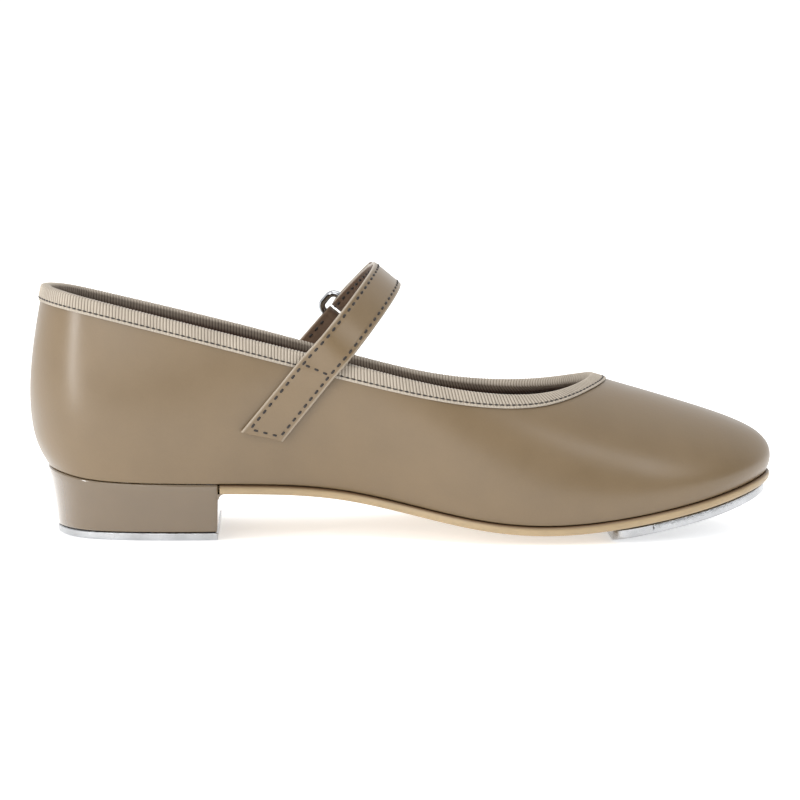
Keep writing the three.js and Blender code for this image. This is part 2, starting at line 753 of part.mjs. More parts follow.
const LEAVE_LOW = 27; // rise where the strap starts to leave the upper
const LEAVE_HIGH = 39; // and where it follows the arch alone
const STRAP_OBLIQUE = 6.2; // the sewn end is cut at a slant

const NARROW_FROM = 0.62; // share of the strap's length where it has come down to its narrow width
const strapWidth = (share) =>
  THREE.MathUtils.lerp(STRAP_WIDE, STRAP_NARROW, Math.min(share / NARROW_FROM, 1));

// The strap's inner face and normal, at a position along it from 0, the sewn end, to 1, the ring.
const SEWN_SHARE = 0.24; // of the positions, up to LEAVE_LOW
function strapFrame(position, across) {
  const side = (across * strapWidth(position)) / 2;
  if (position < SEWN_SHARE) {
    const slant = STRAP_OBLIQUE * across * (1 - position / SEWN_SHARE) * 0.5;
    return sewnFrame((LEAVE_LOW * position) / SEWN_SHARE + slant, side, false);
  }
  const start = archShareAtRise(LEAVE_LOW);
  const share = start + ((1 - start) * (position - SEWN_SHARE)) / (1 - SEWN_SHARE);
  const arch = archFrame(share);
  const free = planePoint(arch.point.x, arch.point.y, side);
  const clearOfUpper = arch.point.y > LEAVE_HIGH || arch.point.x > 0;
  if (clearOfUpper) return { point: free, normal: arch.normal };
  const sewn = sewnFrame(arch.point.y, side, false);
  const blend = THREE.MathUtils.smoothstep(arch.point.y, LEAVE_LOW, LEAVE_HIGH);
  return {
    point: sewn.point.lerp(free, blend),
    normal: sewn.normal.lerp(arch.normal, blend).normalize(),
  };
}

const ACROSS = [-1, 0, 1];

// A strip between two depths above its inner face, from a list of functions of the side position.
function strip(frames, low, high) {
  const rings = frames.map((frame) => {
    const at = (across, depth) => {
      const { point, normal } = frame(across);
      return point.clone().addScaledVector(normal, depth);
    };
    return [...ACROSS.map((a) => at(a, high)), ...ACROSS.toReversed().map((a) => at(a, low))];
  });
  return skin(rings);
}

const strapFrames = () =>
  [...levels(0, SEWN_SHARE, 10), ...levels(SEWN_SHARE, 1, 22).slice(1)].map(
    (position) => (across) => strapFrame(position, across),
  );

// ---------------------------------------------------------------- ring, fold, flap and keeper

// The upper bar of the ring lies outside the strap's end, and the lower bar below it.
const strapEnd = archFrame(1);
const endTangent = ARCH.getTangentAt(1);
const endDown = new THREE.Vector3(0, endTangent.x, 0).addScaledVector(eRise, endTangent.y);
const FOLD_INNER = RING_WIRE + FOLD_SLACK; // radius of the fold's face next to the wire
const upperBar = planePoint(strapEnd.point.x, strapEnd.point.y, 0).addScaledVector(
  strapEnd.normal,
  STRAP_STACK + FOLD_INNER,
);
const lowerBar = upperBar.clone().addScaledVector(endDown, RING_BARS);
const ringMiddle = upperBar.clone().lerp(lowerBar, 0.5);

// The fold: half a turn about the upper bar, from the strap's end out and up again.
const FOLD_STEPS = 8;
function foldFrames(turn) {
  return levels(0, turn, FOLD_STEPS).map((angle) => (across) => {
    const outward = endDown
      .clone()
      .multiplyScalar(Math.sin(angle))
      .addScaledVector(strapEnd.normal, -Math.cos(angle));
    const point = upperBar
      .clone()
      .addScaledVector(outward, FOLD_INNER + STRAP_STACK)
      .addScaledVector(eSide, (across * STRAP_NARROW) / 2);
    return { point, normal: outward.negate() };
  });
}

const FOLD_TURN = THREE.MathUtils.degToRad(172);
const FLAP_LENGTH = 20.5;
const PATCH_FROM = 8; // the fastening, as distances from the crease
const PATCH_TO = 16.5;
const FLAP_TIP = 4; // length over which the free end rounds off
const TIP_NARROWING = 0.75; // square of the width lost at the tip
const FLAP_GAP = 0.6; // air between the fold and the flap, at the crease

// Height of the flap's strap-outer face above the strap's inner face.
const FLAP_STACK = STRAP_STACK + GAP + PATCH_THICK + GAP + PATCH_THICK + GAP;
const FLAP_TIP_STACK = STRAP_STACK + 3 * GAP; // past the patches the flap nearly lies on the strap
const FLAP_RISE_FROM = 1; // distance from the crease where the flap starts to stand off

// Frame on the flap, at a distance up from the fold. Its own outer face is turned to the strap.
function flapFrame(distance, across) {
  const length = ARCH.getLength();
  const arch = archFrame(1 - distance / length);
  const near = 2 * FOLD_INNER + STRAP_STACK;
  const rising = THREE.MathUtils.smoothstep(distance, FLAP_RISE_FROM, PATCH_FROM);
  const settled = THREE.MathUtils.lerp(near, FLAP_STACK, rising);
  const lowered = THREE.MathUtils.smoothstep(distance, PATCH_TO, FLAP_LENGTH);
  const height = THREE.MathUtils.lerp(settled, FLAP_TIP_STACK, lowered);
  const round = THREE.MathUtils.clamp((distance - FLAP_LENGTH + FLAP_TIP) / FLAP_TIP, 0, 1);
  const half = (STRAP_NARROW / 2) * Math.sqrt(1 - TIP_NARROWING * round ** 2);
  const point = planePoint(arch.point.x, arch.point.y, across * half).addScaledVector(arch.normal, height);
  return { point, normal: arch.normal };
}

const flapFrames = (from, to, steps) =>
  levels(from, to, steps).map((distance) => (across) => flapFrame(distance, across));

function strapOuter() {
  const frames = [...strapFrames(), ...foldFrames(FOLD_TURN).slice(1)];
  return strip(frames, STRAP_LINING_THICK + GAP, STRAP_STACK);
}

function strapLining() {
  const frames = [...strapFrames(), ...foldFrames(FOLD_TURN).slice(1)];
  return strip(frames, 0, STRAP_LINING_THICK);
}

const wholeFlap = () => flapFrames(FLAP_GAP, FLAP_LENGTH, 10);
const strapFlap = () => strip(wholeFlap(), 0, STRAP_OUTER_THICK);
const strapFlapLining = () => strip(wholeFlap(), STRAP_OUTER_THICK + GAP, STRAP_STACK);

// Hook and loop patches between strap and flap.
const PATCH_SHARE = 0.72; // of the strap's width
function patch(low) {
  const frames = levels(PATCH_FROM, PATCH_TO, 5).map((distance) => (across) => {
    const arch = archFrame(1 - distance / ARCH.getLength());
    const side = (across * PATCH_SHARE * STRAP_NARROW) / 2;
    return { point: planePoint(arch.point.x, arch.point.y, side), normal: arch.normal };
  });
  return strip(frames, low, low + PATCH_THICK);
}
const loopPatch = () => patch(STRAP_STACK + GAP);
const hookPatch = () => patch(STRAP_STACK + GAP + PATCH_THICK + GAP);

// Ring of round wire: two long bars, two short sides and four round corners.
function ringOutline() {
  const outline = new THREE.CurvePath();
  const x = RING_SPAN / 2;
  const y = RING_BARS / 2;
  const along = x - RING_CORNER;
  const up = y - RING_CORNER;
  const quarter = Math.PI / 2;
  const corner = (cx, cy, turns) =>
    new THREE.EllipseCurve(cx, cy, RING_CORNER, RING_CORNER, turns * quarter, (turns - 1) * quarter, true);
  const line = (x0, y0, x1, y1) => new THREE.LineCurve(new THREE.Vector2(x0, y0), new THREE.Vector2(x1, y1));
  outline.add(line(-along, y, along, y));
  outline.add(corner(along, up, 1));
  outline.add(line(x, up, x, -up));
  outline.add(corner(along, -up, 0));
  outline.add(line(along, -y, -along, -y));
  outline.add(corner(-along, -up, -1));
  outline.add(line(-x, -up, -x, up));
  outline.add(corner(-along, up, -2));
  return outline;
}

function ring() {
  const path = ringOutline();
  const section = 10;
  const steps = 36;
  const rings = levels(0, 1, steps).slice(0, -1).map((share) => {
    const centre = path.getPointAt(share);
    const tangent = path.getTangentAt(share);
    return levels(0, 2 * Math.PI, section).slice(0, -1).map((angle) => {
      const out = RING_WIRE * Math.cos(angle);
      const depth = RING_WIRE * Math.sin(angle);
      return new THREE.Vector3(centre.x + tangent.y * out, centre.y - tangent.x * out, depth);
    });
  });
  const up = endDown.clone().negate();
  const basis = new THREE.Matrix4().makeBasis(eSide, up, eSide.clone().cross(up));
  basis.setPosition(ringMiddle);
  return skin(rings, { round: true }).applyMatrix4(basis);
}

// Doubled leather strip sewn on the lateral side and looped over the ring's lower bar.
const KEEPER_THICK = 1.1;
const KEEPER_WIDTH = 10.6;
const KEEPER_SLACK = 0.5;
const KEEPER_LOW = 8; // rise of its lowest edge
const KEEPER_SEWN_TOP = 25.5;
const KEEPER_SPLAY = 2.2; // the outer leaf lies further back at its lower end

function ringKeeper() {
  const innerRadius = RING_WIRE + KEEPER_SLACK;
  const half = KEEPER_WIDTH / 2;
  const barTurn = levels(0, Math.PI, 8).map((angle) => (across) => {
    const outward = endDown
      .clone()
      .multiplyScalar(-Math.sin(angle))
      .addScaledVector(strapEnd.normal, -Math.cos(angle));
    const point = lowerBar
      .clone()
      .addScaledVector(outward, innerRadius)
      .addScaledVector(eSide, across * half);
    return { point, normal: outward };
  });
  const leaf = (outer) => (share) => (across) => {
    const rise = THREE.MathUtils.lerp(KEEPER_LOW, KEEPER_SEWN_TOP, share);
    const side = across * half - (outer ? KEEPER_SPLAY * (1 - share) : 0);
    const sewn = sewnFrame(rise, side, true);
    const clear = outer ? KEEPER_THICK + GAP : KEEPER_THICK;
    const point = sewn.point.addScaledVector(sewn.normal, clear);
    return { point, normal: outer ? sewn.normal : sewn.normal.negate() };
  };
  const shares = levels(0, 1, 6);
  const frames = [
    ...shares.map(leaf(false)),
    ...barTurn,
    ...shares.toReversed().map(leaf(true)),
  ];
  return strip(frames, 0, KEEPER_THICK);
}

// ---------------------------------------------------------------- materials

function material(color, roughness, metalness) {
  return new THREE.MeshStandardMaterial({ color, roughness, metalness, side: THREE.FrontSide });
}
const leather = () => material(0x96846b, 0.45, 0);
const leatherInside = () => material(0x7b5f45, 0.7, 0);
const ribbon = () => material(0xb3a690, 0.8, 0);
const cloth = () => material(0xb9a88c, 0.9, 0);
const board = () => material(0x9c8b6e, 0.9, 0);
const solePlastic = () => material(0x9b8460, 0.5, 0);
const heelPlastic = () => material(0x94836f, 0.3, 0);
const steel = () => material(0xb8babd, 0.3, 1);
const alloy = () => material(0xcfd1d3, 0.28, 1);
const fastening = () => material(0x8c7a61, 0.95, 0);

// ---------------------------------------------------------------- assembly

const shoe = new THREE.Group();

function add(name, geometry, look) {
  const mesh = new THREE.Mesh(geometry, look);
  mesh.name = name;
  shoe.add(mesh);
}

function addPlaced(name, geometry, look, place) {
  const mesh = new THREE.Mesh(geometry, look);
  mesh.name = name;
  mesh.applyMatrix4(place);
  shoe.add(mesh);
}

const HALF_SEAM = 0.015; // in stations, half the gap between the two linings
const SEAM = 4.5; // station of the seam between quarter and vamp lining

add("outsole", outsole(), solePlastic());
add("heel_block", heelBlock(), heelPlastic());
add("heel_tap", heelTap(), alloy());
add("toe_tap", toeTap(), alloy());
heelScrewPlaces.forEach((place, i) =>
  addPlaced(`heel_tap_screw_${i + 1}`, tapScrewWithDrive(HEEL_SCREW_LENGTH), steel(), place),
);
toeScrewPlaces.forEach((place, i) =>
  addPlaced(`toe_tap_screw_${i + 1}`, tapScrewWithDrive(TOE_SCREW_LENGTH), steel(), place),
);
add("shank", shank(), steel());
add("forepart_filler", forepartFiller(), cloth());
add("insole_board", insoleBoard(), board());
nailPlaces.forEach((place, i) => addPlaced(`heel_nail_${i + 1}`, nail(0), steel(), place));
addPlaced("heel_seat_screw", seatScrew(0), steel(), seatScrewPlace);
add("sock_liner", sockLiner(), cloth());
add("upper", upper(), leather());
add("heel_counter", stiffener(-STIFFENER_SPREAD_HEEL, STIFFENER_SPREAD_HEEL), board());
add("toe_puff", stiffener(TOE - STIFFENER_SPREAD_TOE, TOE + STIFFENER_SPREAD_TOE), board());
add("quarter_lining", lining(-SEAM + HALF_SEAM, SEAM - HALF_SEAM), leatherInside());
add("vamp_lining", lining(SEAM + HALF_SEAM, STATIONS - SEAM - HALF_SEAM), cloth());
add("topline_binding", toplineBinding(), ribbon());
add("strap", strapOuter(), leather());
add("strap_lining", strapLining(), leatherInside());
add("strap_flap", strapFlap(), leather());
add("strap_flap_lining", strapFlapLining(), leatherInside());
add("loop_patch", loopPatch(), fastening());
add("hook_patch", hookPatch(), fastening());
add("ring", ring(), steel());
add("ring_keeper", ringKeeper(), leatherInside());

export default shoe;
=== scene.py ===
import json
import math

import bmesh
import bpy
import numpy as np
from mathutils import Matrix, Vector

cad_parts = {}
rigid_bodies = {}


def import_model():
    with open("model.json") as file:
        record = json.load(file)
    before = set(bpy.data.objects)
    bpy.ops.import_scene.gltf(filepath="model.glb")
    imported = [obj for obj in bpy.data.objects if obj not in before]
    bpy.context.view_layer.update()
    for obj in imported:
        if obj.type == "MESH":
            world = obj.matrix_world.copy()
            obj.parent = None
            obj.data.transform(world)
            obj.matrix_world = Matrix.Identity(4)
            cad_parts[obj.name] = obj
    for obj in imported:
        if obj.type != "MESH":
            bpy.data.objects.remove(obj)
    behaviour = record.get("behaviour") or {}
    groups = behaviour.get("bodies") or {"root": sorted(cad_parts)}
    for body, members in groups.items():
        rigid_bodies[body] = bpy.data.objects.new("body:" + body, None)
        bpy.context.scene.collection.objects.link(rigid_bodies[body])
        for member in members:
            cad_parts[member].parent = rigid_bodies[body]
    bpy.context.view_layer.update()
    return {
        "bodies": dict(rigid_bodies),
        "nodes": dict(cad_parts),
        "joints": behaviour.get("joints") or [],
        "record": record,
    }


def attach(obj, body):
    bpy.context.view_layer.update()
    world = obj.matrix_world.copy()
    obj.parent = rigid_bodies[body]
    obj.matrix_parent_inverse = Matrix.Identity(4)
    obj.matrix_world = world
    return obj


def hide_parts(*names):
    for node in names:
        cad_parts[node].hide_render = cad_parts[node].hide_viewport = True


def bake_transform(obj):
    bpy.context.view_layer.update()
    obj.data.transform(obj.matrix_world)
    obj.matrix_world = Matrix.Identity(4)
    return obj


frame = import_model()

MM = 0.001

# ---------------------------------------------------------------- dimensions shared with the CAD model

GAP = 0.3
UPPER_THICK = 1.2
LINING_THICK = 0.8
STIFFENER_THICK = 1.0
STIFFENER_TOP = 2.5
STIFFENER_SPREAD_HEEL = 2.75
STIFFENER_SPREAD_TOE = 1.25
LASTING_MARGIN = 9.5
BINDING_DEPTH = 4.5
SOLE_THICK = 3.0
SOLE_LIP = 1.0
FOREPART_CROWN = 2.2
BREAST_X = -59.0
RIM_THICK = 2.7
HEEL_FLARE = 0.2
HEEL_TAPER = 2.8
HEEL_BEVEL = 0.6
TAP_THICK_HEEL = 2.3
TAP_THICK_TOE = 3.0
TOE_TAP_REAR_X = 66.0
TOE_TAP_INSET = 0.6
TOE_TAP_CORNER = 7.0
TAP_BEVEL = 0.7
STRAP_WIDE = 12.0
STRAP_NARROW = 11.2
STRAP_OUTER_THICK = 0.9
STRAP_LINING_THICK = 0.7
STRAP_STACK = STRAP_OUTER_THICK + GAP + STRAP_LINING_THICK
PATCH_THICK = 0.8
RING_WIRE = 1.15
RING_BARS = 8.4
RING_SPAN = 15.8
RING_CORNER = 2.8
FOLD_SLACK = 0.9
BOARD_TOP = GAP + UPPER_THICK + 1.8

# ---------------------------------------------------------------- the last

# Ribs from the back of the heel to the tip of the toe, each with five levels from the
# feather edge up to the topline: [x, medial half width, lateral half width, z].
LAST = [
    [[-114.1, 0, 0, 22], [-118.2, 0, 0, 30.5], [-119.8, 0, 0, 45], [-118.2, 0, 0, 63], [-115.2, 0, 0, 79.3]],
    [[-107.6, 16.2, 16.2, 20.8], [-111, 17.2, 17.2, 30.5], [-112.6, 17.8, 17.8, 45], [-111.6, 16.6, 16.6, 62],
     [-109.5, 14.6, 14.6, 78.3]],
    [[-90, 24.6, 24.8, 19], [-91.5, 27.2, 27.4, 29.5], [-92.5, 28, 28.2, 43], [-93, 26.2, 26.4, 59],
     [-92.5, 23.2, 23.4, 74.6]],
    [[-54, 25.4, 26.4, 18.3], [-54, 28.6, 29.6, 28], [-54, 30.2, 31, 40], [-54, 30, 30.2, 53.5],
     [-54, 28.2, 28.2, 65.2]],
    [[-17, 21, 27, 15.2], [-17.5, 25.8, 31.2, 23.5], [-18, 30, 34, 34], [-18, 32.2, 34.4, 46], [-18, 32.2, 33, 56.4]],
    [[21, 33.2, 36.6, 8.1], [20, 36.2, 38.4, 16], [18.5, 37.6, 38.7, 26.5], [16.5, 37, 37.6, 38],
     [14, 34, 34.4, 49]],
    [[58, 36, 35.8, 6.8], [56.5, 37.4, 37, 15], [52, 36, 35.6, 27.5], [46.5, 32.4, 32, 38.5],
     [40.5, 28.2, 28, 46.3]],
    [[99, 25.6, 24.6, 13.7], [99.8, 26.6, 25.6, 21.2], [91.6, 22.4, 21.6, 32.1], [75, 16.8, 16.4, 41.7],
     [56.4, 15, 14.8, 48.4]],
    [[119.1, 0, 0, 19.3], [120.1, 0, 0, 25.2], [112.6, 0, 0, 33.3], [88.5, 0, 0, 42], [62, 0, 0, 49.8]],
]
LATERAL_DROP = [0, 0.3, 1, 1.5, 3, 3.2, 1.6, 0.7, 0]
TOP = 4
TOE = len(LAST) - 1
STATIONS = 2 * TOE


def spread(*values):
    """The values as arrays of one shape."""
    return np.broadcast_arrays(*(np.asarray(value, float) for value in values))


def length_along(points):
    """Distance from the first point, along the path, at every point."""
    return np.concatenate([[0], np.cumsum(np.linalg.norm(np.diff(points, axis=0), axis=1))])


def interpolated(at, run, rows):
    """Rows of numbers known at some runs, worked out at others."""
    return np.stack([np.interp(at, run, column) for column in rows.T], -1)


def rib_point(station, level):
    """One point of the last. Stations go round the shoe: medial side first, lateral side back."""
    lateral = station > TOE
    rib = STATIONS - station if lateral else station
    x, medial_y, lateral_y, z = LAST[rib][level]
    drop = LATERAL_DROP[rib] * max(0, level - TOP + 2) / 2 if lateral else 0
    return [x, lateral_y if lateral else -medial_y, z - drop]


def fit_rows(points, closed):
    """Control points, along axis 0, of the cubic B-spline through the points."""
    control = points.copy()
    inner = slice(None) if closed else slice(1, -1)
    for _ in range(40):
        reached = (np.roll(control, 1, 0) + 4 * control + np.roll(control, -1, 0)) / 6
        control[inner] += (points - reached)[inner]
    return control


def fit_net():
    points = np.array([[rib_point(s, level) for level in range(TOP + 1)] for s in range(STATIONS)], float)
    net = fit_rows(points, True)
    net = fit_rows(net.transpose(1, 0, 2), False).transpose(1, 0, 2)
    below = 2 * net[:, :1] - net[:, 1:2]
    above = 2 * net[:, -1:] - net[:, -2:-1]
    return np.concatenate([below, net, above], 1)


NET = fit_net()


def spline_weights(f):
    return [(1 - f) ** 3 / 6, (3 * f**3 - 6 * f**2 + 4) / 6, (-3 * f**3 + 3 * f**2 + 3 * f + 1) / 6, f**3 / 6]


def last_point(u, t):
    """Points on the outside of the upper at stations u and levels t."""
    u, t = spread(u, t)
    station = np.floor(u).astype(int)
    level = np.clip(np.floor(t), 0, TOP - 1).astype(int)
    along, up = spline_weights(u - station), spline_weights(t - level)
    point = np.zeros(u.shape + (3,))
    for i in range(4):
        for j in range(4):
            point += (along[i] * up[j])[..., None] * NET[(station + i - 1) % STATIONS, level + j]
    return point


def unit(v):
    return v / np.linalg.norm(v, axis=-1, keepdims=True)


def last_normal(u, t):
    step = 0.01
    along = last_point(u + step, t) - last_point(u - step, t)
    up = last_point(u, t + step) - last_point(u, t - step)
    return unit(np.cross(along, up))


def offset_point(u, t, distance):
    distance = np.asarray(distance, float)
    return last_point(u, t) + last_normal(u, t) * distance[..., None]


# ---------------------------------------------------------------- the bottom of the last

HEEL_HUB = 2
TOE_HUB = 7


def mirrored(u):
    u = np.mod(u, STATIONS)
    return np.minimum(u, STATIONS - u)


def hub_station(u):
    return np.clip(mirrored(u), HEEL_HUB, TOE_HUB)


def centreline_point(u):
    station = hub_station(u)
    return (last_point(station, 0) + last_point(STATIONS - station, 0)) / 2


def smoothstep(x, low, high):
    f = np.clip((np.asarray(x, float) - low) / (high - low), 0, 1)
    return f * f * (3 - 2 * f)


def crown(u):
    return FOREPART_CROWN * smoothstep(hub_station(u), 3.5, 5)


def bottom_point(u, inset, height):
    """Points on the bottom of the last: inset from the feather edge, height above the surface."""
    u, inset, height = spread(u, inset, height)
    centre = centreline_point(u)
    reach = last_point(u, 0) - centre
    width = np.hypot(reach[..., 0], reach[..., 1])
    share = 1 - inset / width
    point = centre + reach * share[..., None]
    point[..., 2] += height - crown(u) * (1 - np.minimum(share, 1) ** 2)
    return point


def bottom_share(u, share, height):
    u, share = spread(u, share)
    reach = last_point(u, 0) - centreline_point(u)
    return bottom_point(u, (1 - share) * np.hypot(reach[..., 0], reach[..., 1]), height)


def station_at(x):
    low, high = 0.0, float(TOE)
    for _ in range(40):
        middle = (low + high) / 2
        if last_point(middle, 0)[0] < x:
            low = middle
        else:
            high = middle
    return (low + high) / 2


BREAST = station_at(BREAST_X)

# ---------------------------------------------------------------- meshes


def clean_object(name, mesh, smooth=True):
    """An object of the mesh, with doubled points merged and faces turned outwards."""
    obj = bpy.data.objects.new(name, mesh)
    bpy.context.scene.collection.objects.link(obj)
    bm = bmesh.new()
    bm.from_mesh(mesh)
    bmesh.ops.remove_doubles(bm, verts=bm.verts, dist=2e-7)
    bmesh.ops.dissolve_degenerate(bm, edges=bm.edges, dist=1e-8)
    bmesh.ops.recalc_face_normals(bm, faces=bm.faces)
    if bm.calc_volume(signed=True) < 0:
        bmesh.ops.reverse_faces(bm, faces=bm.faces)
    bm.to_mesh(mesh)
    bm.free()
    if smooth:
        mesh.shade_smooth()
    return obj


def new_object(name, verts, faces, smooth=True):
    """A mesh object from points in millimetres."""
    mesh = bpy.data.meshes.new(name)
    mesh.from_pydata((np.asarray(verts, float) * MM).tolist(), [], faces)
    mesh.validate()
    return clean_object(name, mesh, smooth)


def lattice_faces(rows, columns, close_rows, close_columns):
    """Quads of a lattice of points stored row by row."""
    index = np.arange(rows * columns).reshape(rows, columns)
    i = np.arange(rows if close_rows else rows - 1)
    k = np.arange(columns if close_columns else columns - 1)
    i, k = np.meshgrid(i, k, indexing="ij")
    here, there = index[i, k], index[(i + 1) % rows, k]
    here2, there2 = index[i, (k + 1) % columns], index[(i + 1) % rows, (k + 1) % columns]
    return np.stack([here, there, there2, here2], -1).reshape(-1, 4).tolist()


def lattice(name, points, close_rows=False, close_columns=True, caps=False, values=None):
    """A mesh through rows of points. Caps close the first and last row with flat faces.
    Values are kept per point under their names, for the materials."""
    rows, columns = points.shape[:2]
    faces = lattice_faces(rows, columns, close_rows, close_columns)
    if caps:
        for row in (0, rows - 1):
            start = row * columns
            for k in range(columns // 2 - 1):
                faces.append([start + k, start + k + 1, start + columns - 2 - k, start + columns - 1 - k])
    mesh = bpy.data.meshes.new(name)
    mesh.from_pydata((points.reshape(-1, 3) * MM).tolist(), [], faces)
    for key, value in (values or {}).items():
        data = np.broadcast_to(value, (rows, columns)).astype(np.float32).ravel()
        mesh.attributes.new(key, "FLOAT", "POINT").data.foreach_set("value", data)
    return clean_object(name, mesh)


def sharpen(obj, angle=40):
    """Marks edges sharper than the angle, so that smooth shading stops at them."""
    bm = bmesh.new()
    bm.from_mesh(obj.data)
    for edge in bm.edges:
        edge.smooth = not (len(edge.link_faces) == 2 and edge.calc_face_angle() > math.radians(angle))
    bm.to_mesh(obj.data)
    bm.free()
    return obj


def rounded_profile(half, low, high, radius, across=12):
    """Closed outline of a strip's cross-section, as (side, depth), with rounded sides."""
    radius = min(radius, (high - low) / 2 - 0.01)
    middle, rise = (high + low) / 2, (high - low) / 2
    flat = np.linspace(-half + radius, half - radius, across)
    turn = np.linspace(0, math.pi, 10)[1:-1]
    points = [(w, high) for w in flat]
    points += [(half - radius + radius * math.sin(a), middle + rise * math.cos(a)) for a in turn]
    points += [(w, low) for w in flat[::-1]]
    points += [(-half + radius - radius * math.sin(a), middle - rise * math.cos(a)) for a in turn]
    return np.array(points)


def threads(name, points, normals, pitch=2.85, dash=1.9, radius=0.4, proud=0.02, sides=8):
    """A row of stitches along a path: each is a short thread that dips into the surface at both ends."""
    points, normals = np.asarray(points, float), unit(np.asarray(normals, float))
    run = length_along(points)
    count = max(1, round(run[-1] / pitch))
    pitch = run[-1] / count
    verts, faces = [], []
    steps = np.linspace(-0.5, 0.5, 7)
    for i in range(count):
        middle = (i + 0.5) * pitch
        at = middle + steps * dash
        centre = interpolated(at, run, points)
        normal = unit(interpolated(at, run, normals))
        tangent = unit(np.gradient(centre, axis=0))
        side = unit(np.cross(tangent, normal))
        sink = proud - (radius + proud) * (2 * np.abs(steps)) ** 4
        size = radius * (1 - 0.35 * (2 * np.abs(steps)) ** 3)
        base = len(verts)
        for row in range(len(steps)):
            for a in np.linspace(0, 2 * math.pi, sides, endpoint=False):
                ring = side[row] * math.cos(a) * size[row] + normal[row] * math.sin(a) * size[row] * 0.8
                verts.append(centre[row] + normal[row] * sink[row] + ring)
        for face in lattice_faces(len(steps), sides, False, True):
            faces.append([base + v for v in face])
        faces.append([base + k for k in range(sides)][::-1])
        faces.append([base + (len(steps) - 1) * sides + k for k in range(sides)])
    return new_object(name, verts, faces)


def join(name, objects):
    """One object from several, keeping the first one's materials."""
    first = objects[0]
    bpy.ops.object.select_all(action="DESELECT")
    for obj in objects:
        obj.select_set(True)
    bpy.context.view_layer.objects.active = first
    if len(objects) > 1:
        bpy.ops.object.join()
    first.name = name
    first.data.name = name
    return first


def dress(obj, material):
    obj.data.materials.clear()
    obj.data.materials.append(material)


def finish_piece(obj, body, material, replaces=()):
    """Gives the piece its material and body, and hides the CAD nodes it stands for."""
    dress(obj, material)
    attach(obj, body)
    if replaces:
        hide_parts(*replaces)


# ---------------------------------------------------------------- materials


def shader(name, colour, roughness, metallic=0.0, **sockets):
    """A Principled material; keyword sockets are the shader's own constants."""
    mat = bpy.data.materials.new(name)
    mat.use_nodes = True
    bsdf = mat.node_tree.nodes["Principled BSDF"]
    bsdf.inputs["Base Color"].default_value = (*colour, 1)
    bsdf.inputs["Roughness"].default_value = roughness
    bsdf.inputs["Metallic"].default_value = metallic
    for key, value in sockets.items():
        bsdf.inputs[key.replace("_", " ")].default_value = value
    return mat


def node(mat, kind, **settings):
    """A new node. Settings are its constant sockets, with _ for a space, or its properties."""
    made = mat.node_tree.nodes.new(kind)
    for key, value in settings.items():
        socket = key.replace("_", " ")
        if socket in made.inputs:
            made.inputs[socket].default_value = value
        else:
            setattr(made, key, value)
    return made


def link(mat, source, target):
    mat.node_tree.links.new(source, target)


def coordinates(mat, scale=(1, 1, 1)):
    """Object coordinates in millimetres, stretched by the scale."""
    coords = node(mat, "ShaderNodeTexCoord")
    mapping = node(mat, "ShaderNodeMapping")
    mapping.inputs["Scale"].default_value = [s / MM for s in scale]
    link(mat, coords.outputs["Object"], mapping.inputs["Vector"])
    return mapping.outputs["Vector"]


def noise(mat, vector, size, detail=3.0, roughness=0.5):
    tex = node(mat, "ShaderNodeTexNoise", Scale=1 / size, Detail=detail, Roughness=roughness)
    link(mat, vector, tex.inputs["Vector"])
    return tex.outputs["Fac"]


def pore_cells(mat, vector, size):
    tex = node(mat, "ShaderNodeTexVoronoi", feature="SMOOTH_F1", Scale=1 / size)
    link(mat, vector, tex.inputs["Vector"])
    return tex.outputs["Distance"]


def mesh_value(mat, name):
    """A value that the mesh keeps per point."""
    return node(mat, "ShaderNodeAttribute", attribute_name=name).outputs["Fac"]


def ramp(mat, value, low, high, out_low=0.0, out_high=1.0):
    """The value, mapped from low..high to out_low..out_high."""
    made = node(mat, "ShaderNodeMapRange", From_Min=low, From_Max=high, To_Min=out_low, To_Max=out_high)
    link(mat, value, made.inputs["Value"])
    return made.outputs["Result"]


def blotches(mat, texture, out_high=1.0):
    """A noise texture spread over its usual range, 0.3 to 0.7."""
    return ramp(mat, texture, 0.3, 0.7, 0, out_high)


def combine(mat, operation, a, b):
    made = node(mat, "ShaderNodeMath", operation=operation)
    for i, value in enumerate((a, b)):
        if isinstance(value, (int, float)):
            made.inputs[i].default_value = value
        else:
            link(mat, value, made.inputs[i])
    return made.outputs["Value"]


def colour_mix(mat, factor, first, second, blend="MIX"):
    made = node(mat, "ShaderNodeMix", data_type="RGBA", blend_type=blend)
    colours = [s for s in made.inputs if s.type == "RGBA"]
    for target, value in zip([made.inputs["Factor"], *colours], (factor, first, second)):
        if isinstance(value, (tuple, list)):
            target.default_value = (*value, 1)
        elif isinstance(value, (int, float)):
            target.default_value = value
        else:
            link(mat, value, target)
    return [s for s in made.outputs if s.type == "RGBA"][0]


def bump(mat, height, distance, strength=1.0, below=None):
    """Normals of a relief of this many millimetres, on top of another one's."""
    made = node(mat, "ShaderNodeBump", Strength=strength, Distance=distance * MM)
    link(mat, height, made.inputs["Height"])
    if below:
        link(mat, below, made.inputs["Normal"])
    return made.outputs["Normal"]


def surface(mat, colour=None, roughness=None, normal=None):
    """Links what is given to the shader."""
    bsdf = mat.node_tree.nodes["Principled BSDF"]
    for key, value in (("Base Color", colour), ("Roughness", roughness), ("Normal", normal)):
        if value is not None:
            link(mat, value, bsdf.inputs[key])
    return mat


def tint(colour, factor):
    return tuple(channel * factor for channel in colour)


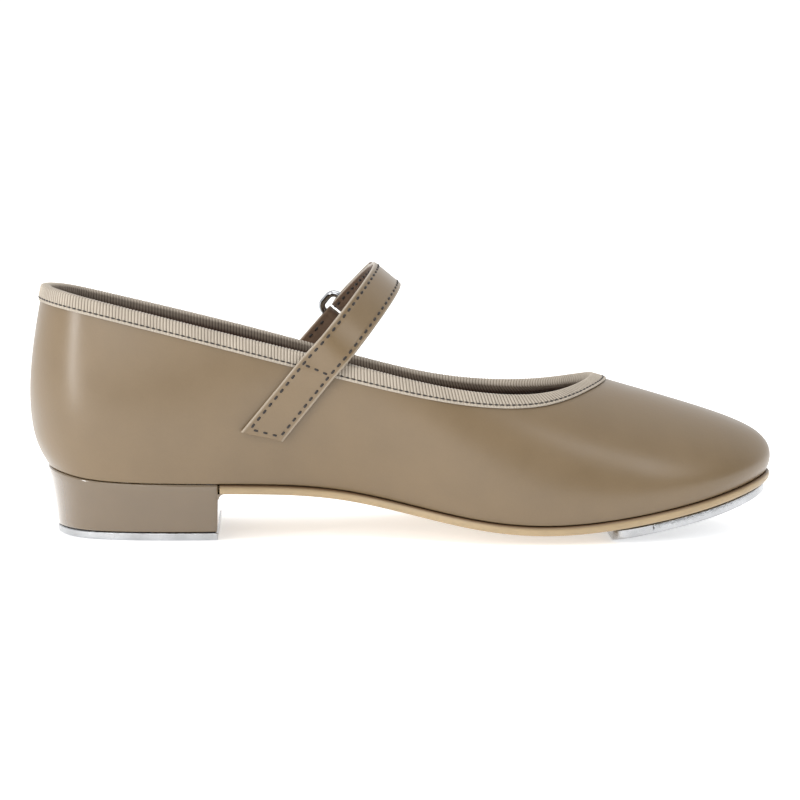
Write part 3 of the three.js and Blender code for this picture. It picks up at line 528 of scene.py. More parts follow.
def leather_material(name, colour, roughness, grain=0.9, depth=0.03, edge=None):
    """Smooth coated leather: fine pores and creases, faint mottling, a thin coat, and
    with an edge colour a painted edge where the mesh's edge value is 1."""
    mat = shader(name, colour, roughness, Coat_Weight=0.3, Coat_Roughness=0.28, Specular_IOR_Level=0.45)
    space = coordinates(mat)
    mottle = noise(mat, space, 14, 4)
    fine = noise(mat, space, 0.5, 3)
    pores = pore_cells(mat, space, grain)
    tone = combine(mat, "ADD", blotches(mat, mottle, 0.7), blotches(mat, fine, 0.3))
    base = colour_mix(mat, tone, tint(colour, 0.94), tint(colour, 1.06))
    if edge:
        base = colour_mix(mat, mesh_value(mat, "edge"), base, edge)
    rough = ramp(mat, mottle, 0.3, 0.7, roughness - 0.05, roughness + 0.06)
    height = combine(mat, "ADD", pores, combine(mat, "MULTIPLY", fine, 0.6))
    wave = bump(mat, noise(mat, space, 5.5, 2), 0.10, 0.5)
    return surface(mat, base, rough, bump(mat, height, depth, 0.6, wave))


def suede_material(name, colour, roughness=0.8):
    """The unpolished face of leather: short nap and darker flecks."""
    mat = shader(name, colour, roughness, Sheen_Weight=0.15, Sheen_Roughness=0.5, Specular_IOR_Level=0.3)
    space = coordinates(mat)
    nap = noise(mat, space, 0.25, 4, 0.7)
    tone = combine(mat, "ADD", blotches(mat, nap, 0.6), blotches(mat, noise(mat, space, 6, 3), 0.4))
    base = colour_mix(mat, tone, tint(colour, 0.72), tint(colour, 1.22))
    return surface(mat, base, None, bump(mat, nap, 0.08, 0.8))


def weave_material(name, colour, pitch=0.55):
    """Plain woven cloth: threads over and under in two directions."""
    mat = shader(name, colour, 0.85, Sheen_Weight=0.25, Sheen_Roughness=0.4, Specular_IOR_Level=0.25)
    space = coordinates(mat)
    split = node(mat, "ShaderNodeSeparateXYZ")
    link(mat, space, split.inputs["Vector"])
    turn = 2 * math.pi / pitch
    side = combine(mat, "ADD", split.outputs["Y"], split.outputs["Z"])
    along, over = (combine(mat, "SINE", combine(mat, "MULTIPLY", way, turn), 0) for way in (split.outputs["X"], side))
    height = combine(mat, "MULTIPLY", along, over)
    tone = combine(mat, "ADD", ramp(mat, height, -1, 1, 0, 0.5), blotches(mat, noise(mat, space, 9, 3), 0.5))
    base = colour_mix(mat, tone, tint(colour, 0.75), tint(colour, 1.15))
    total = combine(mat, "ADD", height, noise(mat, space, 0.3, 3))
    return surface(mat, base, None, bump(mat, total, 0.07, 0.7))


def grosgrain_material(name, crest, valley_shade, inside):
    """Ribbed ribbon: the rib value is 1 on a rib's crest and 0 between ribs, where the valley
    colour is painted shade. The inside value is 1 where the ribbon lies on the lining and
    paints shade on its inner face."""
    mat = shader(name, crest, 0.7, Sheen_Weight=0.3, Sheen_Roughness=0.35, Specular_IOR_Level=0.3)
    space = coordinates(mat)
    fibre = noise(mat, space, 0.16, 2)
    # painted shade: darker on the ribbon's inner face, and darker still between its ribs there
    inner_shade = mesh_value(mat, "inside")
    high = colour_mix(mat, inner_shade, crest, inside)
    low = colour_mix(mat, inner_shade, valley_shade, tint(inside, 0.35))
    # the valley colour paints shade between the ribs and along the stitch line
    ribbed = colour_mix(mat, ramp(mat, mesh_value(mat, "rib"), 0.05, 0.75), low, high)
    tone = combine(mat, "ADD", blotches(mat, fibre, 0.6), blotches(mat, noise(mat, space, 7, 2), 0.4))
    base = colour_mix(mat, 1, ribbed, colour_mix(mat, tone, (0.72, 0.72, 0.72), (1, 1, 1)), "MULTIPLY")
    return surface(mat, base, None, bump(mat, fibre, 0.05, 0.6))


def thread_material(name, colour):
    """Twisted sewing thread."""
    mat = shader(name, colour, 0.6, Sheen_Weight=0.2, Sheen_Roughness=0.4)
    ply = noise(mat, coordinates(mat), 0.12, 2)
    base = colour_mix(mat, ply, tint(colour, 0.6), tint(colour, 1.4))
    return surface(mat, base, None, bump(mat, ply, 0.05, 0.7))


def moulded_material(name, colour, roughness, coat):
    """Lacquered moulding: nearly even colour, a clear glossy coat and faint unevenness."""
    mat = shader(name, colour, roughness, Coat_Weight=coat, Coat_Roughness=0.08, Specular_IOR_Level=0.5)
    space = coordinates(mat)
    cloud = noise(mat, space, 11, 4)
    base = colour_mix(mat, blotches(mat, cloud), tint(colour, 0.96), tint(colour, 1.04))
    rough = ramp(mat, noise(mat, space, 2.5, 4, 0.6), 0.35, 0.75, roughness, roughness + 0.08)
    return surface(mat, base, rough, bump(mat, cloud, 0.05, 0.15))


def sole_material(name, colour, painted_shade):
    """Resin sole with a dressed edge: streaks along the sole, light scuffs, and painted shade in the
    groove under the upper, where the mesh's groove value is 1."""
    mat = shader(name, colour, 0.42, Coat_Weight=0.2, Coat_Roughness=0.2, Specular_IOR_Level=0.45)
    streak = noise(mat, coordinates(mat, (0.12, 1, 1)), 0.9, 4, 0.6)
    cloud = noise(mat, coordinates(mat), 16, 4)
    tone = combine(mat, "ADD", blotches(mat, streak, 0.45), blotches(mat, cloud, 0.55))
    dressed = colour_mix(mat, tone, tint(colour, 0.86), tint(colour, 1.14))
    # painted shade under the upper, laid on by the groove value
    base = colour_mix(mat, mesh_value(mat, "groove"), dressed, painted_shade)
    rough = ramp(mat, streak, 0.3, 0.7, 0.36, 0.5)
    return surface(mat, base, rough, bump(mat, streak, 0.05, 0.5))


def metal_material(name, colour, roughness, grain=(1, 1, 1), size=0.6, depth=0.012, spread=0.1):
    """Bare or plated metal with fine brushing and slight changes of polish."""
    mat = shader(name, colour, roughness, 1.0)
    brush = noise(mat, coordinates(mat, grain), size, 4, 0.65)
    cloud = noise(mat, coordinates(mat), 8, 3)
    polish = ramp(mat, brush, 0.3, 0.7, roughness - 0.05, roughness + 0.05)
    rough = combine(mat, "ADD", polish, blotches(mat, cloud, 0.08))
    base = colour_mix(mat, cloud, tint(colour, 1 - spread), colour)
    return surface(mat, base, rough, bump(mat, brush, depth, 0.5))


UPPER_COLOUR = (0.166, 0.114, 0.060)
PALE_EDGE = (0.30, 0.245, 0.18)
upper_leather = leather_material("upper_leather", UPPER_COLOUR, 0.36)
strap_leather = leather_material("strap_leather", tint(UPPER_COLOUR, 1.03), 0.34, 0.7, 0.025, PALE_EDGE)
strap_inner = suede_material("strap_inner", (0.135, 0.082, 0.05), 0.7)
lining_leather = suede_material("lining_leather", (0.10, 0.052, 0.032), 0.75)
vamp_fabric = weave_material("vamp_fabric", (0.26, 0.195, 0.13))
sock_fabric = suede_material("sock_fabric", (0.27, 0.2, 0.13), 0.8)
# grosgrain colours: rib crest, valley with painted shade between ribs, and painted shade on the inner face
grosgrain = grosgrain_material("grosgrain", (0.47, 0.41, 0.335), (0.165, 0.13, 0.095), (0.075, 0.036, 0.024))
dark_thread = thread_material("dark_thread", (0.014, 0.009, 0.006))
heel_plastic = moulded_material("heel_plastic", (0.128, 0.087, 0.046), 0.12, 1.0)
# the second colour is painted shade for the groove under the upper
sole_resin = sole_material("sole_resin", (0.36, 0.265, 0.15), (0.13, 0.075, 0.035))
tap_metal = metal_material("tap_metal", (0.56, 0.57, 0.585), 0.18, (0.5, 1, 1), size=0.9, depth=0.16, spread=0.5)
screw_steel = metal_material("screw_steel", (0.5, 0.5, 0.5), 0.28, size=0.3)
ring_chrome = metal_material("ring_chrome", (0.42, 0.43, 0.45), 0.08, size=3, depth=0.001, spread=0.05)
hook_loop = suede_material("hook_loop", (0.17, 0.12, 0.08), 0.95)
board_fibre = suede_material("board_fibre", (0.28, 0.22, 0.14), 0.9)
felt = weave_material("filler_felt", (0.26, 0.22, 0.17), 0.9)

# ---------------------------------------------------------------- upper and linings

AROUND = np.linspace(0, STATIONS, 384, endpoint=False)


def upper_shell():
    """The upper: outside, turned under at the feather edge, and back up inside."""
    u = AROUND[:, None]
    outside = last_point(u, np.linspace(TOP, 0.12, 60)[None, :])
    turn = last_point(u, np.linspace(0.1, 0, 4)[None, :])
    margin_low = bottom_point(u, np.array([1.5, 5, LASTING_MARGIN])[None, :], 0)
    margin_high = bottom_point(u, np.array([LASTING_MARGIN, 5, 2.4])[None, :], UPPER_THICK)
    inside = offset_point(u, np.linspace(0.15, TOP, 30)[None, :], -UPPER_THICK)
    ring = np.concatenate([outside, turn, margin_low, margin_high, inside], 1)
    obj = lattice("upper_shell", ring, close_rows=True)
    finish_piece(obj, "shoe", upper_leather, ["upper"])


def stiffener_share(u, t):
    """How far the lining bulges inwards, over the heel counter and the toe puff."""
    from_back = mirrored(u)
    heel = 1 - smoothstep(from_back, STIFFENER_SPREAD_HEEL + 0.3, STIFFENER_SPREAD_HEEL + 0.9)
    toe = 1 - smoothstep(TOE - from_back, STIFFENER_SPREAD_TOE + 0.3, STIFFENER_SPREAD_TOE + 0.9)
    return np.maximum(heel, toe) * (1 - smoothstep(t, STIFFENER_TOP + 0.3, STIFFENER_TOP + 0.95))


LINING_SPLIT = 4.5  # station where the two linings meet
LINING_GAP = 0.015


def lining_shell(name, start, end, columns, material, node_name):
    """One lining, from a start to an end station."""
    u = np.linspace(start, end, columns)[:, None]
    t = np.linspace(0.3, TOP, 40)[None, :]
    depth = UPPER_THICK + GAP + (STIFFENER_THICK + GAP) * stiffener_share(u, t)
    outer = offset_point(u, t, -depth)
    inner = offset_point(u, t[:, ::-1], -depth[:, ::-1] - LINING_THICK)
    obj = lattice(name, np.concatenate([outer, inner], 1), caps=True)
    finish_piece(obj, "shoe", material, [node_name])


# ---------------------------------------------------------------- topline binding

RIB_PITCH = 1.03
RIB_SAMPLES = 6
RIB_RISE = 0.26
BINDING_LIFT = 0.55
BINDING_OVER = 0.75
SEAM_SHARE = 0.77  # where the stitches run, as a share of the depth
WOVEN_EDGE = 0.82
# painted shade on the ribbon's inner face: its strength where the ribbon has turned over the top
INSIDE_PAINTED_SHADE = 0.35
RIBBON_THICK = 0.3


def topline_run():
    """Stations of the topline at even steps of its length, one step a sample of a rib."""
    u = np.linspace(0, STATIONS, 4001)
    run = length_along(last_point(u, TOP))
    ribs = int(round(run[-1] / RIB_PITCH))
    samples = np.arange(ribs * RIB_SAMPLES) / (ribs * RIB_SAMPLES)
    return np.interp(samples * run[-1], run, u)


def binding_frame(u):
    """Topline point, outward normal, direction up the wall, and levels per millimetre."""
    edge = last_point(u, TOP)
    down = last_point(u, TOP - 0.1)
    rise = np.linalg.norm(edge - down, axis=-1) / 0.1
    return edge, last_normal(u, np.full_like(u, TOP)), unit(edge - down), rise


def ribbon():
    """Grosgrain folded over the topline, with a rib every RIB_PITCH."""
    u = topline_run()
    edge, normal, up, rise = binding_frame(u)
    phase = (np.arange(len(u)) % RIB_SAMPLES) / RIB_SAMPLES
    crest = np.sin(math.pi * phase) ** 0.8
    outer_side = BINDING_LIFT
    inner_side = -(UPPER_THICK + GAP + LINING_THICK) - 0.35
    rows, ribs, painted_shades = [], [], []
    depths = np.array([1.0, 0.97, 0.91, 0.85, 0.8, 0.77, 0.74, 0.69, 0.58, 0.44, 0.3, 0.15])

    def add(row, rib, painted_shade):
        rows.append(row)
        ribs.append(rib)
        painted_shades.append(painted_shade)

    def wall(share, side):
        """A row along the wall, at a share of the binding's depth."""
        level = TOP - BINDING_DEPTH * share / rise
        return last_point(u, level) + last_normal(u, level) * np.asarray(side)[..., None]

    def face(share, side, outwards, painted_shade):
        """A row of ribs: flatter towards the woven edge, and pulled in along the stitch line."""
        woven = share > WOVEN_EDGE
        hem = 1 - 0.45 * woven - 0.8 * math.exp(-(((share - SEAM_SHARE) / 0.05) ** 2))
        seam = math.exp(-(((share - SEAM_SHARE) / 0.035) ** 2))
        puff = RIB_RISE * (crest * hem) - 0.18 * (share > 0.98)
        # the rib value falls to 0 along the stitch line, where the valley colour paints shade
        add(wall(share, side + outwards * puff), (1 - seam) * (0.55 + 0.45 * crest if woven else crest), painted_shade)

    for share in depths:
        face(share, outer_side, 1, 0)
    middle, half = (outer_side + inner_side) / 2, (outer_side - inner_side) / 2
    for angle in np.linspace(0, math.pi, 11):
        puff = RIB_RISE * crest
        side = middle + (half + puff) * math.cos(angle)
        over = (BINDING_OVER + puff) * math.sin(angle)
        # painted shade sets in as the ribbon turns over to the inner side
        painted_shade = INSIDE_PAINTED_SHADE * float(smoothstep(angle, math.pi * 0.55, math.pi))
        add(edge + normal * side[:, None] + up * over[:, None], crest, painted_shade)
    for share in depths[::-1]:
        # painted shade on the inner face, darker towards the bottom
        face(share, inner_side, -1, INSIDE_PAINTED_SHADE + (1 - INSIDE_PAINTED_SHADE) * float(smoothstep(share, 0.15, 0.6)))
    for share in (1.0, 0.5, 0.05):
        add(wall(share, inner_side + RIBBON_THICK), crest * 0, 1)
    for share in (0.05, 0.5, 1.0):
        add(wall(share, outer_side - RIBBON_THICK), crest * 0, 0)
    values = {"rib": np.stack(ribs, 1), "inside": np.array(painted_shades, float)[None, :]}
    obj = lattice("ribbon_binding", np.stack(rows, 1), close_rows=True, values=values)
    finish_piece(obj, "shoe", grosgrain, ["topline_binding"])


def binding_stitches():
    """The thread that holds the ribbon, near its lower edge, outside and inside."""
    u = np.linspace(0, STATIONS, 1600)
    level = TOP - BINDING_DEPTH * SEAM_SHARE / binding_frame(u)[3]
    normal = last_normal(u, level)
    wall = last_point(u, level)
    inside = UPPER_THICK + GAP + LINING_THICK + 0.42
    rows = [threads("binding_stitching", wall + way * lift, way, pitch=1.9, dash=1.5, radius=0.24, proud=0.1)
            for way, lift in ((normal, BINDING_LIFT + 0.05), (-normal, inside))]
    finish_piece(join("binding_stitching", rows), "shoe", dark_thread)


# ---------------------------------------------------------------- strap

STRAP_ORIGIN = np.array([-44.9, 0, 34.4])
LEAN = math.radians(50.2)
RISE = np.array([math.cos(LEAN), 0, math.sin(LEAN)])
SIDE = np.array([math.sin(LEAN), 0, -math.cos(LEAN)])
ACROSS = np.array([0.0, 1.0, 0.0])
# The strap's inner face in its own leaning plane, as (across the shoe, up the plane).
ARCH = np.array([[-34.6, 23.7], [-34.1, 31.7], [-32.2, 39.2], [-27.8, 47.2], [-20.6, 54.7], [-11.2, 59.9],
                 [0, 61.6], [10.6, 60], [19, 56], [24.6, 51.2], [27.8, 47.4], [29.6, 44.1]], float)


def arch_curve():
    """The arch sampled finely: run along it, points and unit tangents, as (y, rise)."""
    points = []
    last = len(ARCH) - 1
    for i in range(last):
        p0, p1, p2, p3 = (ARCH[min(max(i + k, 0), last)] for k in (-1, 0, 1, 2))
        f = np.linspace(0, 1, 60, endpoint=False)[:, None]
        v0, v1 = (p2 - p0) / 2, (p3 - p1) / 2
        points.append((2 * p1 - 2 * p2 + v0 + v1) * f**3 + (-3 * p1 + 3 * p2 - 2 * v0 - v1) * f**2 + v0 * f + p1)
    points = np.concatenate([*points, ARCH[-1:]])
    for _ in range(40):
        points[1:-1] = (points[:-2] + 2 * points[1:-1] + points[2:]) / 4
    run = length_along(points)
    return run, points, unit(np.gradient(points, run, axis=0))


ARCH_RUN, ARCH_POINTS, ARCH_TANGENTS = arch_curve()
ARCH_LENGTH = ARCH_RUN[-1]


def arch_frame(run):
    """Inner face point as (y, rise), and outward normal in space, at a run along the arch."""
    run = np.asarray(run, float)
    point = interpolated(run, ARCH_RUN, ARCH_POINTS)
    tangent = unit(interpolated(run, ARCH_RUN, ARCH_TANGENTS))
    normal = -tangent[..., 1:2] * ACROSS + tangent[..., 0:1] * RISE
    return point, normal


def plane_point(y, rise, side):
    """A point from its place across the shoe, up the strap's plane and to the plane's side."""
    y, rise, side = spread(y, rise, side)
    return STRAP_ORIGIN + rise[..., None] * RISE + side[..., None] * SIDE + y[..., None] * ACROSS


NEAR_STRAP = 3.6  # station below the strap, where the search starts


def find_on_upper(x, z, lateral):
    """Stations and levels of the upper at these x and z, on one side of the shoe."""
    u = np.full(x.shape, STATIONS - NEAR_STRAP if lateral else NEAR_STRAP)
    t = np.full(x.shape, 3.0)
    step = 0.01
    for _ in range(12):
        here = last_point(u, t)
        along_u = (last_point(u + step, t) - here) / step
        along_t = (last_point(u, t + step) - here) / step
        det = along_u[..., 0] * along_t[..., 2] - along_t[..., 0] * along_u[..., 2]
        dx, dz = x - here[..., 0], z - here[..., 2]
        u = u + (dx * along_t[..., 2] - dz * along_t[..., 0]) / det
        t = t + (dz * along_u[..., 0] - dx * along_u[..., 2]) / det
    return u, t


SEWN_CLEARANCE = 0.12
BINDING_CLEARANCE = 1.15


def sewn_frame(rise, side, lateral):
    """Points and normals just off the upper and, higher up, off the ribbon."""
    flat = plane_point(np.zeros_like(rise), rise, side)
    u, t = find_on_upper(flat[..., 0], flat[..., 2], lateral)
    lift = smoothstep(t, 3.05, 3.6)
    normal = last_normal(u, t)
    clear = SEWN_CLEARANCE + (BINDING_CLEARANCE - SEWN_CLEARANCE) * lift
    return last_point(u, t) + normal * clear[..., None], normal


LEAVE_LOW = 27.0
LEAVE_HIGH = 39.0
STRAP_OBLIQUE = 6.2
LEAVE_RUN = float(np.interp(LEAVE_LOW, ARCH_POINTS[:150, 1], ARCH_RUN[:150]))
STRAP_LENGTH = LEAVE_LOW + ARCH_LENGTH - LEAVE_RUN


MEDIAL_REACH = 16.0  # beyond the place where it leaves the shoe, the strap is free


def strap_width(run):
    return STRAP_WIDE + (STRAP_NARROW - STRAP_WIDE) * np.clip(run / STRAP_LENGTH * 1.6, 0, 1)


def strap_frame(run, side):
    """Inner face point and normal at a run from the sewn end, and a side in millimetres."""
    run, side = spread(run, side)
    share = side / (STRAP_WIDE / 2)
    slant = STRAP_OBLIQUE * share * 0.5 * np.clip(1 - run / LEAVE_LOW, 0, 1)
    arch_run = np.maximum(LEAVE_RUN + run - LEAVE_LOW, LEAVE_RUN)
    point, normal = arch_frame(arch_run)
    free = plane_point(point[..., 0], point[..., 1], side)
    rise = np.where(run < LEAVE_LOW, run + slant, point[..., 1])
    on_medial = run < LEAVE_LOW + MEDIAL_REACH
    sewn_rise = np.where(on_medial, rise, LEAVE_LOW)
    sewn, sewn_normal = sewn_frame(sewn_rise, side, False)
    blend = np.where(on_medial, smoothstep(rise, LEAVE_LOW, LEAVE_HIGH), 1.0)[..., None]
    return sewn + (free - sewn) * blend, unit(sewn_normal + (normal - sewn_normal) * blend)


STRAP_END, STRAP_END_NORMAL = (v[0] for v in arch_frame(np.array([ARCH_LENGTH])))
END_TANGENT = ARCH_TANGENTS[-1]
END_DOWN = ACROSS * END_TANGENT[0] + RISE * END_TANGENT[1]
FOLD_INNER = RING_WIRE + FOLD_SLACK
UPPER_BAR = plane_point(*STRAP_END, 0.0) + STRAP_END_NORMAL * (STRAP_STACK + FOLD_INNER)
LOWER_BAR = UPPER_BAR + END_DOWN * RING_BARS
FOLD_TURN = math.radians(172)
FOLD_RUN = FOLD_TURN * (FOLD_INNER + STRAP_STACK / 2)
FLAP_LENGTH = 20.5
FLAP_TIP = 4.5
PATCH_FROM = 8.0
PATCH_TO = 16.5
FLAP_STACK = STRAP_STACK + 3 * GAP + 2 * PATCH_THICK
FLAP_TIP_STACK = STRAP_STACK + 3 * GAP


def fold_frame(run, side):
    """Round the ring's upper bar: the face that was the strap's inner face, and its normal."""
    run, side = spread(run, side)
    angle = (run / FOLD_RUN * FOLD_TURN)[..., None]
    outward = -STRAP_END_NORMAL * np.cos(angle) + END_DOWN * np.sin(angle)
    point = UPPER_BAR + outward * (FOLD_INNER + STRAP_STACK) + side[..., None] * SIDE
    return point, -outward


def flap_frame(distance, side):
    """On the flap: the face turned to the strap, and the normal away from it."""
    distance, side = spread(distance, side)
    point, normal = arch_frame(ARCH_LENGTH - distance)
    near = 2 * FOLD_INNER + STRAP_STACK
    settled = near + (FLAP_STACK - near) * smoothstep(distance, 1, PATCH_FROM)
    height = settled + (FLAP_TIP_STACK - settled) * smoothstep(distance, PATCH_TO, FLAP_LENGTH)
    place = plane_point(point[..., 0], point[..., 1], side) + normal * height[..., None]
    return place, normal


def strap_and_fold(run, side):
    """The whole strap up to the end of the fold, by run."""
    run, side = spread(run, side)
    strap, strap_normal = strap_frame(np.minimum(run, STRAP_LENGTH), side)
    fold, fold_normal = fold_frame(np.clip(run - STRAP_LENGTH, 0, FOLD_RUN), side)
    on_fold = (run > STRAP_LENGTH)[..., None]
    return np.where(on_fold, fold, strap), np.where(on_fold, fold_normal, strap_normal)


STITCH_INSET = 1.6
BACKING_NARROWER = 0.5
CROSS_ROW_RUN = 27.4
CROSS_ROW_SLANT = 0.32


def strip(name, frame_at, runs, profile, width_at=None):
    """A strip: the profile's sides are scaled to the width at each run."""
    half = np.abs(profile[:, 0]).max()
    runs = np.asarray(runs, float)
    width = np.ones_like(runs) if width_at is None else width_at(runs) / 2 / half
    sides = profile[None, :, 0] * width[:, None]
    groove = 0.13 * np.exp(-(((half - np.abs(profile[:, 0]) - STITCH_INSET) / 0.45) ** 2))
    depth = profile[:, 1] - np.sign(profile[:, 1] - profile[:, 1].mean()) * groove
    point, normal = frame_at(runs[:, None], sides)
    edge = smoothstep(np.abs(profile[:, 0]), half - 0.75, half - 0.25)[None, :]
    return lattice(name, point + normal * depth[None, :, None], caps=True, values={"edge": edge})


def backing_profile(low, high):
    return rounded_profile(STRAP_WIDE / 2 - 0.25, low, high, 0.3, across=30)


def strap_strips():
    fold = np.linspace(STRAP_LENGTH, STRAP_LENGTH + FOLD_RUN, 26)
    runs = np.concatenate([np.linspace(0, STRAP_LENGTH, 190), fold[1:]])

    def backing_width(run):
        return strap_width(run) - BACKING_NARROWER

    outer = rounded_profile(STRAP_WIDE / 2, STRAP_LINING_THICK + 0.05, STRAP_STACK, 0.45, across=30)
    leather = strip("strap_leather", strap_and_fold, runs, outer, strap_width)
    backing = strip("strap_backing", strap_and_fold, runs, backing_profile(0, STRAP_LINING_THICK), backing_width)
    finish_piece(leather, "shoe", strap_leather, ["strap"])
    finish_piece(backing, "shoe", strap_inner, ["strap_lining"])


def flap_width(distance):
    """Width of the flap, which is rounded off at its tip."""
    round_off = np.clip((distance - FLAP_LENGTH + FLAP_TIP) / FLAP_TIP, 0, 1)
    return STRAP_NARROW * np.sqrt(1 - 0.8 * round_off**2)


def flap_strips():
    tip = FLAP_LENGTH - FLAP_TIP * (1 - np.sin(np.linspace(0, math.pi / 2, 12)[1:]))
    runs = np.concatenate([np.linspace(0.05, FLAP_LENGTH - FLAP_TIP, 50), tip])

    def backing_width(run):
        return flap_width(run) - BACKING_NARROWER

    outer = rounded_profile(STRAP_WIDE / 2, 0, STRAP_OUTER_THICK, 0.4, across=30)
    leather = strip("flap_leather", flap_frame, runs, outer, flap_width)
    inner = backing_profile(STRAP_OUTER_THICK + 0.25, STRAP_STACK)
    backing = strip("flap_backing", flap_frame, runs, inner, backing_width)
    for obj, material, slot, cad_name in ((leather, strap_leather, "upper_leather", "strap_flap"),
                                          (backing, strap_inner, "strap_inner", "strap_flap_lining")):
        dress(obj, material)
        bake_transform(obj)
        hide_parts(cad_name)


def rows_along(frame_at, runs, side, depth, flip=1.0):
    """Points and normals of a row of stitches on a strip, at a depth in it."""
    side = np.broadcast_to(side, runs.shape)
    point, normal = frame_at(runs, side)
    return point + normal * depth, normal * flip


def strap_stitches():
    rows = []
    runs = np.linspace(1.7, STRAP_LENGTH + FOLD_RUN * 0.9, 500)
    half = strap_width(runs) / 2 - STITCH_INSET
    for sign in (-1, 1):
        rows.append(threads(f"row{sign}", *rows_along(strap_and_fold, runs, sign * half, STRAP_STACK - 0.12)))
        free = runs > LEAVE_LOW + 6
        rows.append(threads(f"inner{sign}", *rows_along(strap_and_fold, runs[free], sign * half[free], 0.1, -1.0)))
    sides = np.linspace(-1, 1, 40) * (STRAP_WIDE / 2 - STITCH_INSET - 0.3)
    for run, slant in ((1.7, 0.0), (CROSS_ROW_RUN, CROSS_ROW_SLANT)):
        point, normal = strap_and_fold(run + slant * sides, sides)
        rows.append(threads(f"cross{run}", point + normal * (STRAP_STACK - 0.1), normal))
    finish_piece(join("strap_stitching", rows), "shoe", dark_thread)


def flap_stitches():
    rows = []
    runs = np.linspace(0.8, FLAP_LENGTH - 2.2, 200)
    half = flap_width(runs) / 2 - STITCH_INSET
    for sign in (-1, 1):
        rows.append(threads(f"flap_row{sign}", *rows_along(flap_frame, runs, sign * half, STRAP_STACK - 0.08)))
        rows.append(threads(f"flap_under{sign}", *rows_along(flap_frame, runs, sign * half, 0.08, -1.0)))
    finish_piece(join("flap_stitching", rows), "flap", dark_thread)


# ---------------------------------------------------------------- bottom: sole, heel, taps


def applied(obj):
    """Bakes an object's modifiers into its mesh."""
    bpy.context.view_layer.update()
    made = bpy.data.meshes.new_from_object(obj.evaluated_get(bpy.context.evaluated_depsgraph_get()))
    obj.modifiers.clear()
    obj.data = made
    return obj


def bevelled(obj, width, segments=3, angle=35):
    modifier = obj.modifiers.new("bevel", "BEVEL")
    modifier.width = width * MM
    modifier.segments = segments
    modifier.limit_method = "ANGLE"
    modifier.angle_limit = math.radians(angle)
    return applied(obj)


def drilled(obj, cutters):
    """Cuts the cutters out of the object and removes them."""
    for cutter in cutters:
        modifier = obj.modifiers.new("hole", "BOOLEAN")
        modifier.operation = "DIFFERENCE"
        modifier.solver = "EXACT"
        modifier.object = cutter
    applied(obj)
    for cutter in cutters:
        bpy.data.objects.remove(cutter)
    return obj


SHARES = np.array([0.0, 0.2, 0.4, 0.6, 0.75, 0.86])


def edge_arc(inset, round_in, high, low, steps=11):
    """Insets and heights of a rounded edge, from its top to its underside."""
    a = np.linspace(math.pi / 2, -math.pi / 2, steps)
    middle, half = (high + low) / 2, (high - low) / 2
    swell = np.abs(np.cos(a)) ** 0.6
    rise = np.sign(np.sin(a)) * np.abs(np.sin(a)) ** 0.8
    return inset + round_in * (1 - swell), middle + half * rise


SEAT_END = station_at(BREAST_X + 2 * GAP)
SOLE_ROUND = 1.7


def sole_piece():
    """The sole, with close stations where its edge steps in from the seat to the waist."""
    step = 0.004
    ends = [SEAT_END - step, SEAT_END + step, STATIONS - SEAT_END - step, STATIONS - SEAT_END + step]
    u = np.sort(np.concatenate([AROUND, ends]))[:, None]
    outset = np.where(mirrored(u) < SEAT_END, -RIM_THICK - GAP, SOLE_LIP)
    high, low = -GAP, -GAP - SOLE_THICK
    insets, heights = edge_arc(0, SOLE_ROUND, high, low, 15)
    rim = bottom_point(u, insets[None, :] - outset, heights[None, :])
    top = bottom_share(u, SHARES[None, :], high)
    under = bottom_share(u, SHARES[None, ::-1], low)
    # groove value: 1 on the top face and fading down the rim's upper edge; it carries the painted shade under the
    # upper
    groove = [np.ones(len(SHARES)), 1 - smoothstep(high - heights, 0.15, 1.1), np.zeros(len(SHARES))]
    obj = lattice("sole_body", np.concatenate([top, rim, under], 1), close_rows=True, close_columns=False,
                  values={"groove": np.concatenate(groove)[None, :]})
    obj = drilled(obj, toe_screw_holes())
    finish_piece(sharpen(obj, 50), "shoe", sole_resin, ["outsole"])


def bottom_normal(u, share):
    step = 0.02
    across = bottom_share(u, share + step, 0) - bottom_share(u, share - step, 0)
    along = bottom_share(u + step, share, 0) - bottom_share(u - step, share, 0)
    normal = unit(np.cross(across, along))
    return normal if normal[2] < 0 else -normal


TOE_SCREW_SPOTS = [[6.62, 0.62], [STATIONS - 6.62, 0.62], [7.35, 0.45], [STATIONS - 7.35, 0.45]]
HEEL_SCREW_SPOTS = [[-70, -15], [-70, 15], [-100, 0]]
HEAD_SUNK = 0.15
SCREW_HEAD, SCREW_SHANK, SCREW_HEAD_DEPTH = 2.9, 1.4, 1.5
TOE_SCREW_LENGTH = 5.4
HEEL_SCREW_LENGTH = 9.5
HOLE_GROWTH = GAP * 0.6


def facing(point, direction):
    turn = Vector((0, 0, 1)).rotation_difference(Vector(direction))
    return Matrix.Translation(Vector(point) * MM) @ turn.to_matrix().to_4x4()


def toe_screw_places():
    places = []
    for u, share in TOE_SCREW_SPOTS:
        normal = bottom_normal(u, share)
        tread = bottom_share(u, share, -GAP - SOLE_THICK - GAP - TAP_THICK_TOE)
        tread[2] = max(tread[2], 0)
        places.append(facing(tread - normal * HEAD_SUNK, normal))
    return places


def heel_screw_places():
    return [facing((x, y, HEAD_SUNK), (0, 0, -1)) for x, y in HEEL_SCREW_SPOTS]


TURNED_SEGMENTS = 48


def turned(name, profile, place):
    """A lathed solid from (radius, height) points, top first, moved to its place."""
    angles = np.linspace(0, 2 * math.pi, TURNED_SEGMENTS, endpoint=False)
    rows = [[[r * math.cos(a), r * math.sin(a), z] for r, z in profile] for a in angles]
    obj = lattice(name, np.array(rows), close_rows=True, close_columns=False)
    obj.data.transform(place)
    return obj


